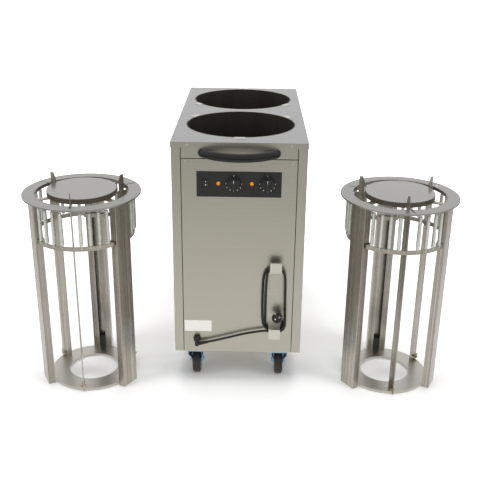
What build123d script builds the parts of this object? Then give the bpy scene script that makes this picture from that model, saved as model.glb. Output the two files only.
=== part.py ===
from build123d import *
import math
import os

# A mobile heated dispenser for two stacks of plates. A sheet-steel cabinet on four
# swivel casters has two round heated wells in its deck. Each well takes a lift-out
# self-levelling dispenser, and the two dispensers stand on the floor beside it.
#
# Millimetres, +Z up, controls facing -Y. The origin is on the floor, at the middle
# of the footprint of all three. Everything is drawn about the middle of the cabinet
# and moved by SHIFT_X and SHIFT_Y when it is written. "Out" is away from the front.

# ------------------------------------------------------------------ cabinet sizes
DECK_HEIGHT = 887.0
SIDE_MARGIN = 33.7            # side of the body to the well's wall
FRONT_MARGIN = 66.7           # front of the body to the well's wall
REAR_MARGIN = 25.7
WELL_GAP = 42.4               # between the two wells
SHEET = 1.5
SKIRT_HEIGHT = 18.0
SKIRT_CLEARANCE = 0.2
DECK_CORNER = 5.0
CORNER_BEND = 3.0
RETURN_WIDTH = 30.0           # side panel face that turns round the corner
PANEL_GAP = 2.5
FOLD_DEPTH = 14.0
TRAY_FLANGE = 24.0
RAIL_WIDTH = 64.0
RAIL_HEIGHT = 20.0
UPPER_PANEL_HEIGHT = 51.5

# ------------------------------------------------------------------ wells
WELL_RADIUS = 186.3
LINER_WALL = 1.2
LINER_LIFT = 74.0             # underside of the body to the foot of the liner
CLIP_THICKNESS = 1.2
CLIP_WIDTH = 35.0
CLIP_REACH = 19.0             # lap of each clip over the deck
CLIP_DROP = 16.0
CLIP_SPREAD = 123.0           # degrees from the outermost clip to its neighbours
CLIP_ANGLE = {"front": -90.0, "rear": 90.0}     # degrees, the outermost clip
DECK_HOLE_CLEARANCE = 0.3
PAN_DEPTH = 40.0
PAN_LAP = 10.0
PAN_CLEARANCE = 0.3
PAN_FOOT = (150.0, 6.0)       # from the well's middle, radius
HEATER_RADIUS = 122.0
HEATER_ROD = 4.25
HEATER_LIFT = 16.0            # pan floor to the middle of the rod
HEATER_GAP_ANGLE = 24.0
HEATER_TAIL = 34.0

# ------------------------------------------------------------------ control panel
CONTROL_DROP = 136.0          # deck to the line of the switch, lamps and knobs
FASCIA_WIDTH = 276.0
FASCIA_HEIGHT = 86.0
FASCIA_DROP = 3.0             # control line to the middle of the fascia
FASCIA_THICKNESS = 1.5
SWITCH_X = -108.0
LAMP_X = (-67.0, 41.6)
KNOB_X = (-17.0, 92.2)
BEZEL_WIDTH = 24.2
BEZEL_HEIGHT = 29.2
BEZEL_DEPTH = 2.0
SWITCH_BODY_WIDTH = 20.4
SWITCH_BODY_HEIGHT = 25.6
SWITCH_BODY_DEPTH = 22.0
ROCKER_WIDTH = 16.2
ROCKER_LENGTH = 20.6
ROCKER_CLEARANCE = 0.4
ROCKER_TILT = 8.0             # degrees either side of level
ROCKER_CROWN = 4.6
ROCKER_WAIST = 3.2
ROCKER_DEPTH = 4.0
ROCKER_PIN = 1.5
PIN_CLEARANCE = 0.05
LAMP_RADIUS = 6.3
LAMP_HEIGHT = 3.6
LAMP_STEM = 4.0
KNOB_RADIUS = 21.5
KNOB_SKIRT = 4.0
KNOB_BODY_RADIUS = 18.8
KNOB_HEIGHT = 17.0
KNOB_GRIP_HEIGHT = 25.0
KNOB_GRIP_WIDTH = 11.0
KNOB_LIFT = 0.6               # gap between the knob skirt and the fascia
SPINDLE_RADIUS = 3.0
BUSH_RADIUS = 5.0
THERMOSTAT_SIZE = 34.0
THERMOSTAT_DEPTH = 30.0
PLATE_WIDTH = 94.0
PLATE_HEIGHT = 42.0
PLATE_THICKNESS = 0.6
PLATE_X = -138.0
PLATE_LIFT = 101.0            # underside of the body to the middle of the plate

# ------------------------------------------------------------------ push handle
HANDLE_HALF_SPAN = 119.0
HANDLE_DROP = 34.0            # deck to the middle of the handle
HANDLE_RADIUS = 14.0
HANDLE_REACH = 60.0
HANDLE_ELBOW = 20.0
HANDLE_STUD = 4.0
HANDLE_NUT = 7.5

# ------------------------------------------------------------------ cord and hooks
HOOK_X = 127.0
HOOK_WIDTH = 40.0
HOOK_REACH = 33.0
HOOK_TAB = 38.0
HOOK_BACK = 27.0
HOOK_THICKNESS = 2.0
HOOK_LIFT = 107.0             # underside of the body to the top of the lower arm
HOOK_SPACING = 212.0          # between the two arms
CORD_DIAMETER = 8.0
GLAND_X = -142.0
GLAND_LIFT = 54.0             # underside of the body to the middle of the gland
GLAND_RADIUS = 11.0
GLAND_SPOUT = 25.0
BOOT_LENGTH = 30.0
BOOT_RADIUS = 6.5
BOOT_TIP_RADIUS = 4.9
CORD_OUT = 14.0               # cord's middle, out from the front face
HANK_X = 124.5
HANK_HALF_WIDTH = 44.0
HANK_CROWN = 24.0             # thickness of the hank over the upper arm
HANK_FOOT = 18.0              # thickness of the hank under the lower arm
HANK_SIDE = 16.0
HANK_DEPTH = 18.0
HANK_CORNER = 5.0
HANK_CLEARANCE = 0.3
PLUG_FACE = (134.0, 41.0, 286.0)   # x, out from the front face, height
PLUG_AXIS = (-0.36, -0.70, 0.62)   # from the cord end to the pins
PLUG_RADIUS = 18.5
PLUG_RIM = 9.0
PLUG_LENGTH = 33.0
PLUG_NECK = 7.0
PLUG_BOOT = 15.0
PLUG_PIN_RADIUS = 2.4
PLUG_PIN_LENGTH = 19.0
PLUG_PIN_SPACING = 19.0

# ------------------------------------------------------------------ fasteners
SCREW_HEAD = 4.0
SCREW_HEAD_HEIGHT = 2.2
SCREW_SHANK = 2.0
SCREW_LENGTH = 8.0
SCREW_INSET = 14.8            # panel's edge to a panel screw
SCREW_DROP = 8.5              # top of the front panel to its upper screws
SCREW_LIFT = 23.0             # underside of the body to the lower screws
SKIRT_SCREW_INSET = 20.5

# ------------------------------------------------------------------ casters
CASTER_SIDE_INSET = 72.0      # side of the body to the swivel axis
CASTER_END_INSET = 42.0       # front or rear of the body to the swivel axis
CASTER_HEIGHT = 127.0
CASTER_PLATE = (100.0, 76.0, 3.0)
CASTER_BOLTS = (80.0, 56.0)
CASTER_BOLT_HEAD = 6.0
CASTER_BOLT_HEIGHT = 3.2
SWIVEL_RADIUS = 30.0
SWIVEL_GAP = 0.3
SWIVEL_SEAT = 3.7             # plate's underside to the foot of its raised seat
FORK_CROWN = 3.5
FORK_BROW = 12.0              # crown to the bend where the shoulders start
FORK_KNEE = 32.0              # axle to the bend where the legs start
FORK_FOOT = 14.0              # axle to the foot of the legs
FORK_EYE = 13.0
KINGPIN_RADIUS = 10.0
KINGPIN_NUT = 13.0
KINGPIN_NUT_HEIGHT = 7.0
RUNNING_CLEARANCE = 0.06
FORK_WALL = 3.0
FORK_SHOULDER = 29.0          # half width of the fork at its crown
FORK_HALF_WIDTH = 21.0        # half width of the fork at the axle
WHEEL_RADIUS = 50.0
WHEEL_WIDTH = 30.0
TYRE_INNER = 37.0
TYRE_ROUND = 9.0
HUB_WIDTH = 26.0
HUB_BOSS = 11.0
HUB_BOSS_GAP = 0.5
AXLE_RADIUS = 5.0
AXLE_HEAD = 8.5
AXLE_HEAD_HEIGHT = 5.0
TRAIL = 38.0
PEDAL_BACK = 28.0             # swivel axis to the pedal's hinge
PEDAL_DROP = 12.0             # crown to the pedal's hinge
PEDAL_PIN = 2.5
PEDAL_HUB = 4.6
PEDAL_HALF_WIDTH = 21.5
PEDAL_LENGTH = 52.0
PEDAL_THICKNESS = 3.0
PEDAL_LIP = 9.0

# ------------------------------------------------------------------ dispensers
DISPENSER_X = {"left": -531.0, "right": 541.0}
DISPENSER_Y = {"left": -362.0, "right": -345.0}
DISPENSER_TURN = {"left": -2.0, "right": 3.0}   # degrees about Z
SECTORS = 3
CHANNEL_ANGLE = 90.0
RACK_HEIGHT = 692.0
RACK_CLEARANCE = 9.8          # channels to the wall of the well
FLANGE_LAP = 12.1             # flange past the wall of the well
FLANGE_INSET = 4.2            # channel lips to the inner edge of the flange
FLANGE_SHEET = 2.0
FLANGE_HEM = 5.0
FLANGE_LIP = 10.0
GUIDE_SLOT_WIDTH = 5.0
GUIDE_SLOT_LENGTH = 31.2
BASE_HOLE = 87.4
BASE_INSET = 2.0              # base ring to the channel lips
BASE_HEIGHT = 10.5
CHANNEL_WIDTH = 68.0
CHANNEL_DEPTH = 24.5
CHANNEL_SLOT = 24.0
FIT_CLEARANCE = 0.1
GUIDE_CLEARANCE = 0.7
BUMP_STOP_HEIGHT = 39.5
BUMP_STOP_WIDTH = 40.0
GUIDE_WIDTH = 38.0
GUIDE_TWIST = 12.0            # degrees from radial, about the flange's opening
GUIDE_OVERHANG = 8.0          # guide past the base ring
GUIDE_TOE = 5.0               # width of the toe that reaches down beside the ring
GUIDE_TOE_LIFT = 2.0
GUIDE_THICKNESS = 3.0
GUIDE_SHOULDER = 20.0         # top of the wide part to the flange's underside
GUIDE_RISE = 40.0             # tip above the flange
GUIDE_NECK_INSET = 7.0        # inner edge of the wide part to that of the neck
GUIDE_NECK_WIDTH = 19.0
GUIDE_BOLT_INSET = 7.0        # guide's outer edge to its bolt
GUIDE_BOLT_LIFT = 8.5         # top of the base ring to the bolt
GUIDE_BOLT_RADIUS = 2.9
EAR_WIDTH = 20.0
EAR_HEIGHT = 17.5
EAR_THICKNESS = 2.5
WING_HUB = 5.5
WING_HUB_LENGTH = 8.0
WING_SPAN = 27.0
WING_HEIGHT = 10.0
ANCHOR_GAP = 12.0             # guide's outer edge to the spring strips
ANCHOR_WALL = 2.0
ANCHOR_HEIGHT = 14.0
SPRING_RADIUS = 6.6
SPRING_WALL = 1.6
SPRING_CLEARANCE = 0.3
SPRING_ANGLES = (10.5, 20.5, 30.5, 40.5)        # either side of each guide
DISC_RISE = 10.0              # disc above the flange
DISC_GAP = 3.0                # disc to the guides
DISC_RIM = 18.0
DISC_EDGE_ROUND = 1.4
CARRIER_DROP = 143.0          # foot of the disc's rim to the foot of the carrier
CARRIER_RING_HEIGHT = 15.0
ARM_WIDTH = 20.0
ARM_THICKNESS = 4.0
ARM_HUB = 40.0
LEG_INSET = 3.0               # channel lips to the legs
SPREADER_INSET = 5.5          # channel lips to the inside of the spreaders
SPREADER_WALL = 2.5
SPREADER_GAP = 3.0            # carrier to the side of a channel
SHOE_HEIGHT = 30.0
SHOE_CLEARANCE = 0.6
LOWER_SHOE = 2.0              # foot of the carrier to the lower shoes
UPPER_SHOE = 105.0            # foot of the carrier to the upper shoes

# ------------------------------------------------------------------ worked out
BODY_WIDTH = 2 * (WELL_RADIUS + SIDE_MARGIN)
BODY_DEPTH = FRONT_MARGIN + 4 * WELL_RADIUS + WELL_GAP + REAR_MARGIN
FRONT = -BODY_DEPTH / 2
FRONT_WELL_Y = FRONT + FRONT_MARGIN + WELL_RADIUS
REAR_WELL_Y = -FRONT - REAR_MARGIN - WELL_RADIUS
WELLS = {"front": FRONT_WELL_Y, "rear": REAR_WELL_Y}
BODY_CLEARANCE = CASTER_HEIGHT
BODY_TOP = DECK_HEIGHT - SHEET
UPPER_PANEL_BOTTOM = BODY_TOP - UPPER_PANEL_HEIGHT
FRONT_PANEL_TOP = UPPER_PANEL_BOTTOM - PANEL_GAP
CONTROL_HEIGHT = DECK_HEIGHT - CONTROL_DROP
FASCIA_MID_HEIGHT = CONTROL_HEIGHT - FASCIA_DROP
HANDLE_HEIGHT = DECK_HEIGHT - HANDLE_DROP
PLATE_MID_HEIGHT = BODY_CLEARANCE + PLATE_LIFT
GLAND_HEIGHT = BODY_CLEARANCE + GLAND_LIFT
LOWER_HOOK_HEIGHT = BODY_CLEARANCE + HOOK_LIFT  # top of the lower arm
UPPER_HOOK_HEIGHT = LOWER_HOOK_HEIGHT + HOOK_SPACING    # underside of the upper arm
HANK_TOP = UPPER_HOOK_HEIGHT + HOOK_THICKNESS + HANK_CROWN
HANK_BOTTOM = LOWER_HOOK_HEIGHT - HOOK_THICKNESS - HANK_FOOT
CASTER_X = BODY_WIDTH / 2 - CASTER_SIDE_INSET
CASTER_Y = BODY_DEPTH / 2 - CASTER_END_INSET
FORK_TOP = CASTER_HEIGHT - CASTER_PLATE[2] - SWIVEL_SEAT - SWIVEL_GAP
PEDAL_HINGE = (PEDAL_BACK, FORK_TOP - PEDAL_DROP)       # trail direction, height
SKIRT_FACE = SKIRT_CLEARANCE + SHEET            # skirt's outside, past the panels
PANEL_EDGE = BODY_WIDTH / 2 - RETURN_WIDTH - PANEL_GAP
FASCIA_FACE = FRONT - FASCIA_THICKNESS
LINER_TOP = DECK_HEIGHT
LINER_BOTTOM = BODY_CLEARANCE + LINER_LIFT
LINER_OUTER = WELL_RADIUS + LINER_WALL
DECK_HOLE = LINER_OUTER + CLIP_THICKNESS + DECK_HOLE_CLEARANCE
PAN_INNER = LINER_OUTER + PAN_CLEARANCE
PAN_FLOOR = LINER_BOTTOM - PAN_DEPTH
SECTOR = 360.0 / SECTORS
GUIDE_ANGLE = SECTOR / 2
FLANGE_TOP = RACK_HEIGHT
FLANGE_UNDER = FLANGE_TOP - FLANGE_SHEET
FLANGE_RADIUS = WELL_RADIUS + FLANGE_LAP
CHANNEL_OUTER = WELL_RADIUS - RACK_CLEARANCE
CHANNEL_INNER = CHANNEL_OUTER - CHANNEL_DEPTH   # middle of the stack to the lips
FLANGE_OPENING = CHANNEL_INNER + FLANGE_INSET
BASE_RADIUS = CHANNEL_INNER - BASE_INSET
BUMP_STOP_TOP = BASE_HEIGHT + BUMP_STOP_HEIGHT
GUIDE_OUTER = BASE_RADIUS + GUIDE_OVERHANG
GUIDE_INNER = GUIDE_OUTER - GUIDE_WIDTH         # edge that steadies the plates
GUIDE_BOLT = (GUIDE_OUTER - GUIDE_BOLT_INSET, BASE_HEIGHT + GUIDE_BOLT_LIFT)
ANCHOR_RADIUS = GUIDE_OUTER + ANCHOR_GAP
LEG_INNER = CHANNEL_INNER + LEG_INSET
SPREADER_INNER = CHANNEL_INNER - SPREADER_INSET
DISC_TOP = FLANGE_TOP + DISC_RISE
DISC_RADIUS = GUIDE_INNER - DISC_GAP
ARM_TOP = DISC_TOP - DISC_RIM
CARRIER_BOTTOM = ARM_TOP - CARRIER_DROP
REAR_REACH = -FRONT + SKIRT_FACE + SCREW_HEAD_HEIGHT
FRONT_REACH = min(DISPENSER_Y.values()) - FLANGE_RADIUS
SHIFT_Y = -(REAR_REACH + FRONT_REACH) / 2
SHIFT_X = -sum(DISPENSER_X.values()) / 2

# Route of the uncoiled cord: x, out from the front face, height.
CORD_ROUTE = [
    (-105.0, CORD_OUT, 172.0),
    (-72.0, CORD_OUT, 180.0),
    (-30.0, CORD_OUT, 192.0),
    (14.0, CORD_OUT, 205.0),
    (58.0, CORD_OUT, 214.5),
    (97.0, CORD_OUT, 221.0),
]


# ------------------------------------------------------------------ helpers
def block(x, y, z):
    """A box between the two ends of each of its three spans."""
    spans = (x, y, z)
    middle = [(low + high) / 2 for low, high in spans]
    return Pos(*middle) * Box(*[high - low for low, high in spans])


def disc(radius, z, at=(0.0, 0.0)):
    """An upright cylinder between two heights."""
    return Pos(at[0], at[1], sum(z) / 2) * Cylinder(radius, z[1] - z[0])


def ring(inner, outer, z, at=(0.0, 0.0)):
    """An upright tube between two heights."""
    return disc(outer, z, at) - disc(inner, z, at)


def rod_y(radius, x, y, z):
    """A cylinder along Y between two places."""
    return Pos(x, sum(y) / 2, z) * Rot(90, 0, 0) * Cylinder(radius, y[1] - y[0])


def rod_x(radius, x, y, z):
    """A cylinder along X between two places."""
    return Pos(sum(x) / 2, y, z) * Rot(0, 90, 0) * Cylinder(radius, x[1] - x[0])


def turned(shape, angle):
    """The shape turned about the Z axis."""
    return Rot(0, 0, angle) * shape


def sectors(shape, start):
    """Copies of a shape at each sector of a dispenser, as a list."""
    return [turned(shape, start + SECTOR * n) for n in range(SECTORS)]


def twisted(shape):
    """A guide's own piece, turned about the upright line at the flange's opening."""
    pivot = Pos(FLANGE_OPENING, 0, 0)
    return pivot * Rot(0, 0, GUIDE_TWIST) * pivot.inverse() * shape


def side_plate(outline, x):
    """A plate whose outline is given in Y and Z, between two places along X."""
    face = Plane.YZ.offset(x[0]) * make_face(Polyline(*outline, close=True))
    return extrude(face, x[1] - x[0])


def out(distance):
    """The Y coordinate of a place this far out from the front face."""
    return FRONT - distance


def save(name, *shapes):
    """Write one node, moved from the cabinet's middle to the part's origin."""
    solids = [solid for shape in shapes for solid in shape.solids()]
    body = solids[0] if len(solids) == 1 else Compound(solids)
    export_step(Pos(SHIFT_X, SHIFT_Y, 0) * body, f"parts/{name}.step")


# ------------------------------------------------------------------ cabinet
def screw_places():
    """Each panel screw as (x, face, height, side); side is -1 in front."""
    places = []
    skirt_middle = DECK_HEIGHT - SKIRT_HEIGHT / 2
    for side in (-1, 1):
        face = -side * FRONT
        for x in (-1, 1):
            skirt_x = x * (PANEL_EDGE - SKIRT_SCREW_INSET)
            places.append((skirt_x, face + side * SKIRT_FACE, skirt_middle, side))
            rows = [FRONT_PANEL_TOP - SCREW_DROP]
            if side > 0:
                rows.append(BODY_CLEARANCE + SCREW_LIFT)
            for z in rows:
                places.append((x * (PANEL_EDGE - SCREW_INSET), face, z, side))
    return places


def screw_holes(y):
    """Holes for every screw on one end of the cabinet."""
    holes = [
        rod_y(SCREW_SHANK + FIT_CLEARANCE, x, (face - SCREW_LENGTH, face + SCREW_LENGTH), z)
        for x, face, z, side in screw_places()
        if side * y > 0
    ]
    return Compound(holes)


def top_deck():
    reach = SKIRT_FACE
    half_width = BODY_WIDTH / 2 + reach
    half_depth = BODY_DEPTH / 2 + reach
    z = (DECK_HEIGHT - SKIRT_HEIGHT, DECK_HEIGHT)
    pan = block((-half_width, half_width), (-half_depth, half_depth), z)
    pan = fillet(pan.edges().filter_by(Axis.Z), DECK_CORNER)
    half_width -= SHEET
    half_depth -= SHEET
    hollow = block((-half_width, half_width), (-half_depth, half_depth), (z[0] - 1, z[1] - SHEET))
    hollow = fillet(hollow.edges().filter_by(Axis.Z), DECK_CORNER - SHEET)
    deck = pan - hollow
    for y in WELLS.values():
        deck -= disc(DECK_HOLE, (z[0], z[1] + 1), (0, y))
    return deck - screw_holes(FRONT) - screw_holes(-FRONT)


def side_panel(side):
    """One side, with a return and a fold at each end. Side is -1 for the left."""
    edge = BODY_WIDTH / 2
    z = (BODY_CLEARANCE, BODY_TOP)
    panel = block((edge - RETURN_WIDTH, edge), (FRONT, -FRONT), z)
    panel = fillet(panel.edges().filter_by(Axis.Z).group_by(Axis.X)[-1], CORNER_BEND)
    inner = block((edge - RETURN_WIDTH + SHEET, edge - SHEET), (FRONT + SHEET, -FRONT - SHEET), z)
    middle = block((0, edge - SHEET), (FRONT + FOLD_DEPTH, -FRONT - FOLD_DEPTH), z)
    panel = panel - inner - middle
    return panel if side > 0 else mirror(panel, Plane.YZ)


def end_panel(z, side):
    """A panel between the side returns, with its edges folded inwards."""
    y = sorted((side * -FRONT, side * (-FRONT - FOLD_DEPTH)))
    outer = block((-PANEL_EDGE, PANEL_EDGE), y, z)
    y = sorted((side * (-FRONT - SHEET), side * (-FRONT - FOLD_DEPTH - 1)))
    x = PANEL_EDGE - SHEET
    return outer - block((-x, x), y, (z[0] + SHEET, z[1] - SHEET)) - screw_holes(side)


def front_panel():
    panel = end_panel((BODY_CLEARANCE, FRONT_PANEL_TOP), -1)
    y = (FRONT - 1, FRONT + SHEET + 1)
    for x in KNOB_X:
        panel -= rod_y(BUSH_RADIUS + FIT_CLEARANCE, x, y, CONTROL_HEIGHT)
    for x in LAMP_X:
        panel -= rod_y(LAMP_STEM + FIT_CLEARANCE, x, y, CONTROL_HEIGHT)
    panel -= rod_y(CORD_DIAMETER / 2 + FIT_CLEARANCE, GLAND_X, y, GLAND_HEIGHT)
    return panel - switch_cutout()


def front_upper_panel():
    panel = end_panel((UPPER_PANEL_BOTTOM, BODY_TOP), -1)
    for side in (-1, 1):
        x = side * HANDLE_HALF_SPAN
        panel -= rod_y(HANDLE_STUD + FIT_CLEARANCE, x, (FRONT - 1, FRONT + SHEET + 1), HANDLE_HEIGHT)
    return panel


def base_tray():
    """Floor of the body, with turned-up edges and a rail over each pair of casters."""
    half_width = BODY_WIDTH / 2 - SHEET
    half_depth = BODY_DEPTH / 2 - FOLD_DEPTH
    z = (BODY_CLEARANCE, BODY_CLEARANCE + TRAY_FLANGE)
    tray = block((-half_width, half_width), (-half_depth, half_depth), z)
    x = half_width - SHEET
    y = half_depth - SHEET
    tray -= block((-x, x), (-y, y), (z[0] + SHEET, z[1] + 1))
    floor = z[0] + SHEET
    for side in (-1, 1):
        inner_end = side * (y - RAIL_WIDTH)
        rail = block((-x, x), sorted((side * y, inner_end)), (floor, floor + RAIL_HEIGHT))
        rail -= block(
            (-x, x),
            sorted((side * (y - SHEET), inner_end + side * SHEET)),
            (floor, floor + RAIL_HEIGHT - SHEET),
        )
        tray += rail
    return tray


# ------------------------------------------------------------------ wells
def liner(y):
    return ring(WELL_RADIUS, LINER_OUTER, (LINER_BOTTOM, LINER_TOP), (0, y))


def well_clips():
    """Six clips: a leg on the liner's outside, folded over the deck."""
    clips = []
    reach = DECK_HOLE + CLIP_REACH
    for end, y in WELLS.items():
        first = CLIP_ANGLE[end]
        for angle in (first, first - CLIP_SPREAD, first + CLIP_SPREAD):
            wedge = block((0, reach), (-CLIP_WIDTH / 2, CLIP_WIDTH / 2), (0, 2 * DECK_HEIGHT))
            leg = ring(
                LINER_OUTER,
                LINER_OUTER + CLIP_THICKNESS,
                (DECK_HEIGHT - CLIP_DROP, DECK_HEIGHT + CLIP_THICKNESS),
            )
            lap = ring(LINER_OUTER, reach, (DECK_HEIGHT, DECK_HEIGHT + CLIP_THICKNESS))
            clips.append(Pos(0, y, 0) * turned((leg + lap) & wedge, angle))
    return clips


def heater_pans():
    """Shallow pans under the liners, on feet, with three pillars for each heater."""
    pans = []
    for y in WELLS.values():
        outer = PAN_INNER + SHEET
        pan = disc(outer, (PAN_FLOOR - SHEET, LINER_BOTTOM + PAN_LAP))
        pan -= disc(PAN_INNER, (PAN_FLOOR, LINER_BOTTOM + PAN_LAP + 1))
        rod_bottom = PAN_FLOOR + HEATER_LIFT - HEATER_ROD
        pillar = disc(HEATER_ROD, (PAN_FLOOR, rod_bottom), (HEATER_RADIUS, 0))
        for post in sectors(pillar, SECTOR / 2):
            pan += post
        foot_z = (BODY_CLEARANCE + SHEET, PAN_FLOOR - SHEET)
        foot = disc(PAN_FOOT[1], foot_z, (PAN_FOOT[0], 0))
        for corner in range(4):
            pan += turned(foot, 45 + 90 * corner)
        for tail in heater_tails(HEATER_ROD + FIT_CLEARANCE):
            pan -= tail
        pans.append(Pos(0, y, 0) * pan)
    return pans


def heater_tails(radius):
    """The two straight ends of a heater, which go down through its pan."""
    z = (PAN_FLOOR + HEATER_LIFT - HEATER_TAIL, PAN_FLOOR + HEATER_LIFT)
    half = HEATER_GAP_ANGLE / 2
    return [turned(disc(radius, z, (HEATER_RADIUS, 0)), side * half) for side in (-1, 1)]


def heating_elements():
    """A bent rod in each pan: most of a circle, with both ends turned down."""
    heaters = []
    height = PAN_FLOOR + HEATER_LIFT
    for y in WELLS.values():
        half = HEATER_GAP_ANGLE / 2
        section = Plane.XZ * Pos(HEATER_RADIUS, height) * Circle(HEATER_ROD)
        rod = turned(revolve(section, Axis.Z, 360 - HEATER_GAP_ANGLE), half)
        for tail, side in zip(heater_tails(HEATER_ROD), (-1, 1)):
            end = Pos(HEATER_RADIUS, 0, height) * Sphere(HEATER_ROD)
            rod = rod + tail + turned(end, side * half)
        heaters.append(Pos(0, y, 0) * rod)
    return heaters


# ------------------------------------------------------------------ controls
def control_fascia():
    half = FASCIA_WIDTH / 2
    z = (FASCIA_MID_HEIGHT - FASCIA_HEIGHT / 2, FASCIA_MID_HEIGHT + FASCIA_HEIGHT / 2)
    plate = block((-half, half), (FASCIA_FACE, FRONT), z)
    y = (FASCIA_FACE - 1, FRONT + 1)
    for x in KNOB_X:
        plate -= rod_y(BUSH_RADIUS + FIT_CLEARANCE, x, y, CONTROL_HEIGHT)
    for x in LAMP_X:
        plate -= rod_y(LAMP_STEM + FIT_CLEARANCE, x, y, CONTROL_HEIGHT)
    return plate - switch_cutout()


def switch_block(width, height, y):
    """A box on the middle line of the switch."""
    x = (SWITCH_X - width / 2, SWITCH_X + width / 2)
    return block(x, y, (CONTROL_HEIGHT - height / 2, CONTROL_HEIGHT + height / 2))


def switch_cutout():
    grow = 2 * FIT_CLEARANCE
    y = (FASCIA_FACE - 1, FRONT + FOLD_DEPTH)
    return switch_block(SWITCH_BODY_WIDTH + grow, SWITCH_BODY_HEIGHT + grow, y)


def rocker_pivot_y():
    return FASCIA_FACE + BEZEL_DEPTH / 2


def rocker_switch_body():
    """Bezel and housing in one, hollowed for the rocker, with four tags behind."""
    back = FASCIA_FACE + SWITCH_BODY_DEPTH
    front = FASCIA_FACE - BEZEL_DEPTH
    body = switch_block(BEZEL_WIDTH, BEZEL_HEIGHT, (front, FASCIA_FACE))
    body += switch_block(SWITCH_BODY_WIDTH, SWITCH_BODY_HEIGHT, (FASCIA_FACE, back))
    half_length = math.hypot(ROCKER_LENGTH / 2, ROCKER_CROWN) + ROCKER_CLEARANCE
    depth = math.hypot(ROCKER_LENGTH / 2, ROCKER_DEPTH) + ROCKER_CLEARANCE
    width = ROCKER_WIDTH + 2 * ROCKER_CLEARANCE
    body -= switch_block(width, 2 * half_length, (front - 1, rocker_pivot_y() + depth))
    body -= rocker_pin(ROCKER_PIN + PIN_CLEARANCE, FIT_CLEARANCE)
    for x in (-1, 1):
        for z in (-1, 1):
            tag_x = SWITCH_X + x * SWITCH_BODY_WIDTH / 4
            tag_z = CONTROL_HEIGHT + z * SWITCH_BODY_HEIGHT / 4
            body += block((tag_x - 0.4, tag_x + 0.4), (back, back + 9), (tag_z - 2.4, tag_z + 2.4))
    return body


def rocker_pin(radius, extra):
    half = ROCKER_WIDTH / 2 + ROCKER_CLEARANCE + 1.0 + extra
    return rod_x(radius, (SWITCH_X - half, SWITCH_X + half), rocker_pivot_y(), CONTROL_HEIGHT)


def rocker():
    """Rocker with a dished face, tipped to its off position on its pin."""
    half = ROCKER_LENGTH / 2
    outline = [
        (ROCKER_DEPTH, -half + 2),
        (-ROCKER_CROWN, -half),
        (-ROCKER_WAIST, 0),
        (-ROCKER_CROWN, half),
        (ROCKER_DEPTH, half - 2),
    ]
    body = side_plate(outline, (-ROCKER_WIDTH / 2, ROCKER_WIDTH / 2))
    place = Pos(SWITCH_X, rocker_pivot_y(), CONTROL_HEIGHT) * Rot(-ROCKER_TILT, 0, 0)
    return place * body + rocker_pin(ROCKER_PIN, 0)


def pilot_lamps():
    lamps = []
    for x in LAMP_X:
        lens = rod_y(LAMP_RADIUS, x, (FASCIA_FACE - LAMP_HEIGHT, FASCIA_FACE), CONTROL_HEIGHT)
        lens = fillet(lens.edges().sort_by(Axis.Y)[0], LAMP_HEIGHT * 0.6)
        stem = rod_y(LAMP_STEM, x, (FASCIA_FACE, FRONT + FOLD_DEPTH), CONTROL_HEIGHT)
        nut = rod_y(LAMP_RADIUS, x, (FRONT + SHEET, FRONT + 2 * SHEET), CONTROL_HEIGHT)
        lamps.append(lens + stem + nut)
    return lamps


def thermostats():
    """Boxes behind the panel, each with a bush through it for the spindle."""
    units = []
    half = THERMOSTAT_SIZE / 2
    spindle = SPINDLE_RADIUS + PIN_CLEARANCE
    for x in KNOB_X:
        y = (FRONT + SHEET, FRONT + SHEET + THERMOSTAT_DEPTH)
        z = (CONTROL_HEIGHT - half, CONTROL_HEIGHT + half)
        unit = block((x - half, x + half), y, z)
        unit += rod_y(BUSH_RADIUS, x, (FASCIA_FACE, y[0]), CONTROL_HEIGHT)
        units.append(unit - rod_y(spindle, x, (FASCIA_FACE - 1, y[0] + 12), CONTROL_HEIGHT))
    return units


def knob(x):
    """Skirted knob with a bar grip and a pointer line, and its spindle behind."""
    base = FASCIA_FACE - KNOB_LIFT
    skirt = rod_y(KNOB_RADIUS, x, (base - KNOB_SKIRT, base), CONTROL_HEIGHT)
    skirt = fillet(skirt.edges().sort_by(Axis.Y)[0], KNOB_SKIRT / 3)
    body = rod_y(KNOB_BODY_RADIUS, x, (base - KNOB_HEIGHT, base - KNOB_SKIRT), CONTROL_HEIGHT)
    body = chamfer(body.edges().sort_by(Axis.Y)[0], KNOB_SKIRT / 2)
    grip = rod_y(KNOB_BODY_RADIUS - 0.5, x, (base - KNOB_GRIP_HEIGHT, base - KNOB_SKIRT), CONTROL_HEIGHT)
    grip &= block(
        (x - KNOB_GRIP_WIDTH / 2, x + KNOB_GRIP_WIDTH / 2),
        (base - KNOB_GRIP_HEIGHT, base),
        (CONTROL_HEIGHT - KNOB_RADIUS, CONTROL_HEIGHT + KNOB_RADIUS),
    )
    grip = fillet(grip.edges().group_by(Axis.Y)[0], 1.5)
    pointer = block(
        (x - 0.7, x + 0.7),
        (base - KNOB_GRIP_HEIGHT - 1, base - KNOB_GRIP_HEIGHT + 0.6),
        (CONTROL_HEIGHT + KNOB_BODY_RADIUS / 2, CONTROL_HEIGHT + KNOB_RADIUS),
    )
    hollow = rod_y(SPINDLE_RADIUS, x, (base - KNOB_HEIGHT, base + 1), CONTROL_HEIGHT)
    shell = skirt + body + grip - pointer - hollow
    spindle = rod_y(SPINDLE_RADIUS, x, (base - KNOB_HEIGHT, FRONT + SHEET + 11), CONTROL_HEIGHT)
    return shell, spindle


def rating_plate():
    x = (PLATE_X - PLATE_WIDTH / 2, PLATE_X + PLATE_WIDTH / 2)
    z = (PLATE_MID_HEIGHT - PLATE_HEIGHT / 2, PLATE_MID_HEIGHT + PLATE_HEIGHT / 2)
    return block(x, (FRONT - PLATE_THICKNESS, FRONT), z)


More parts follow.
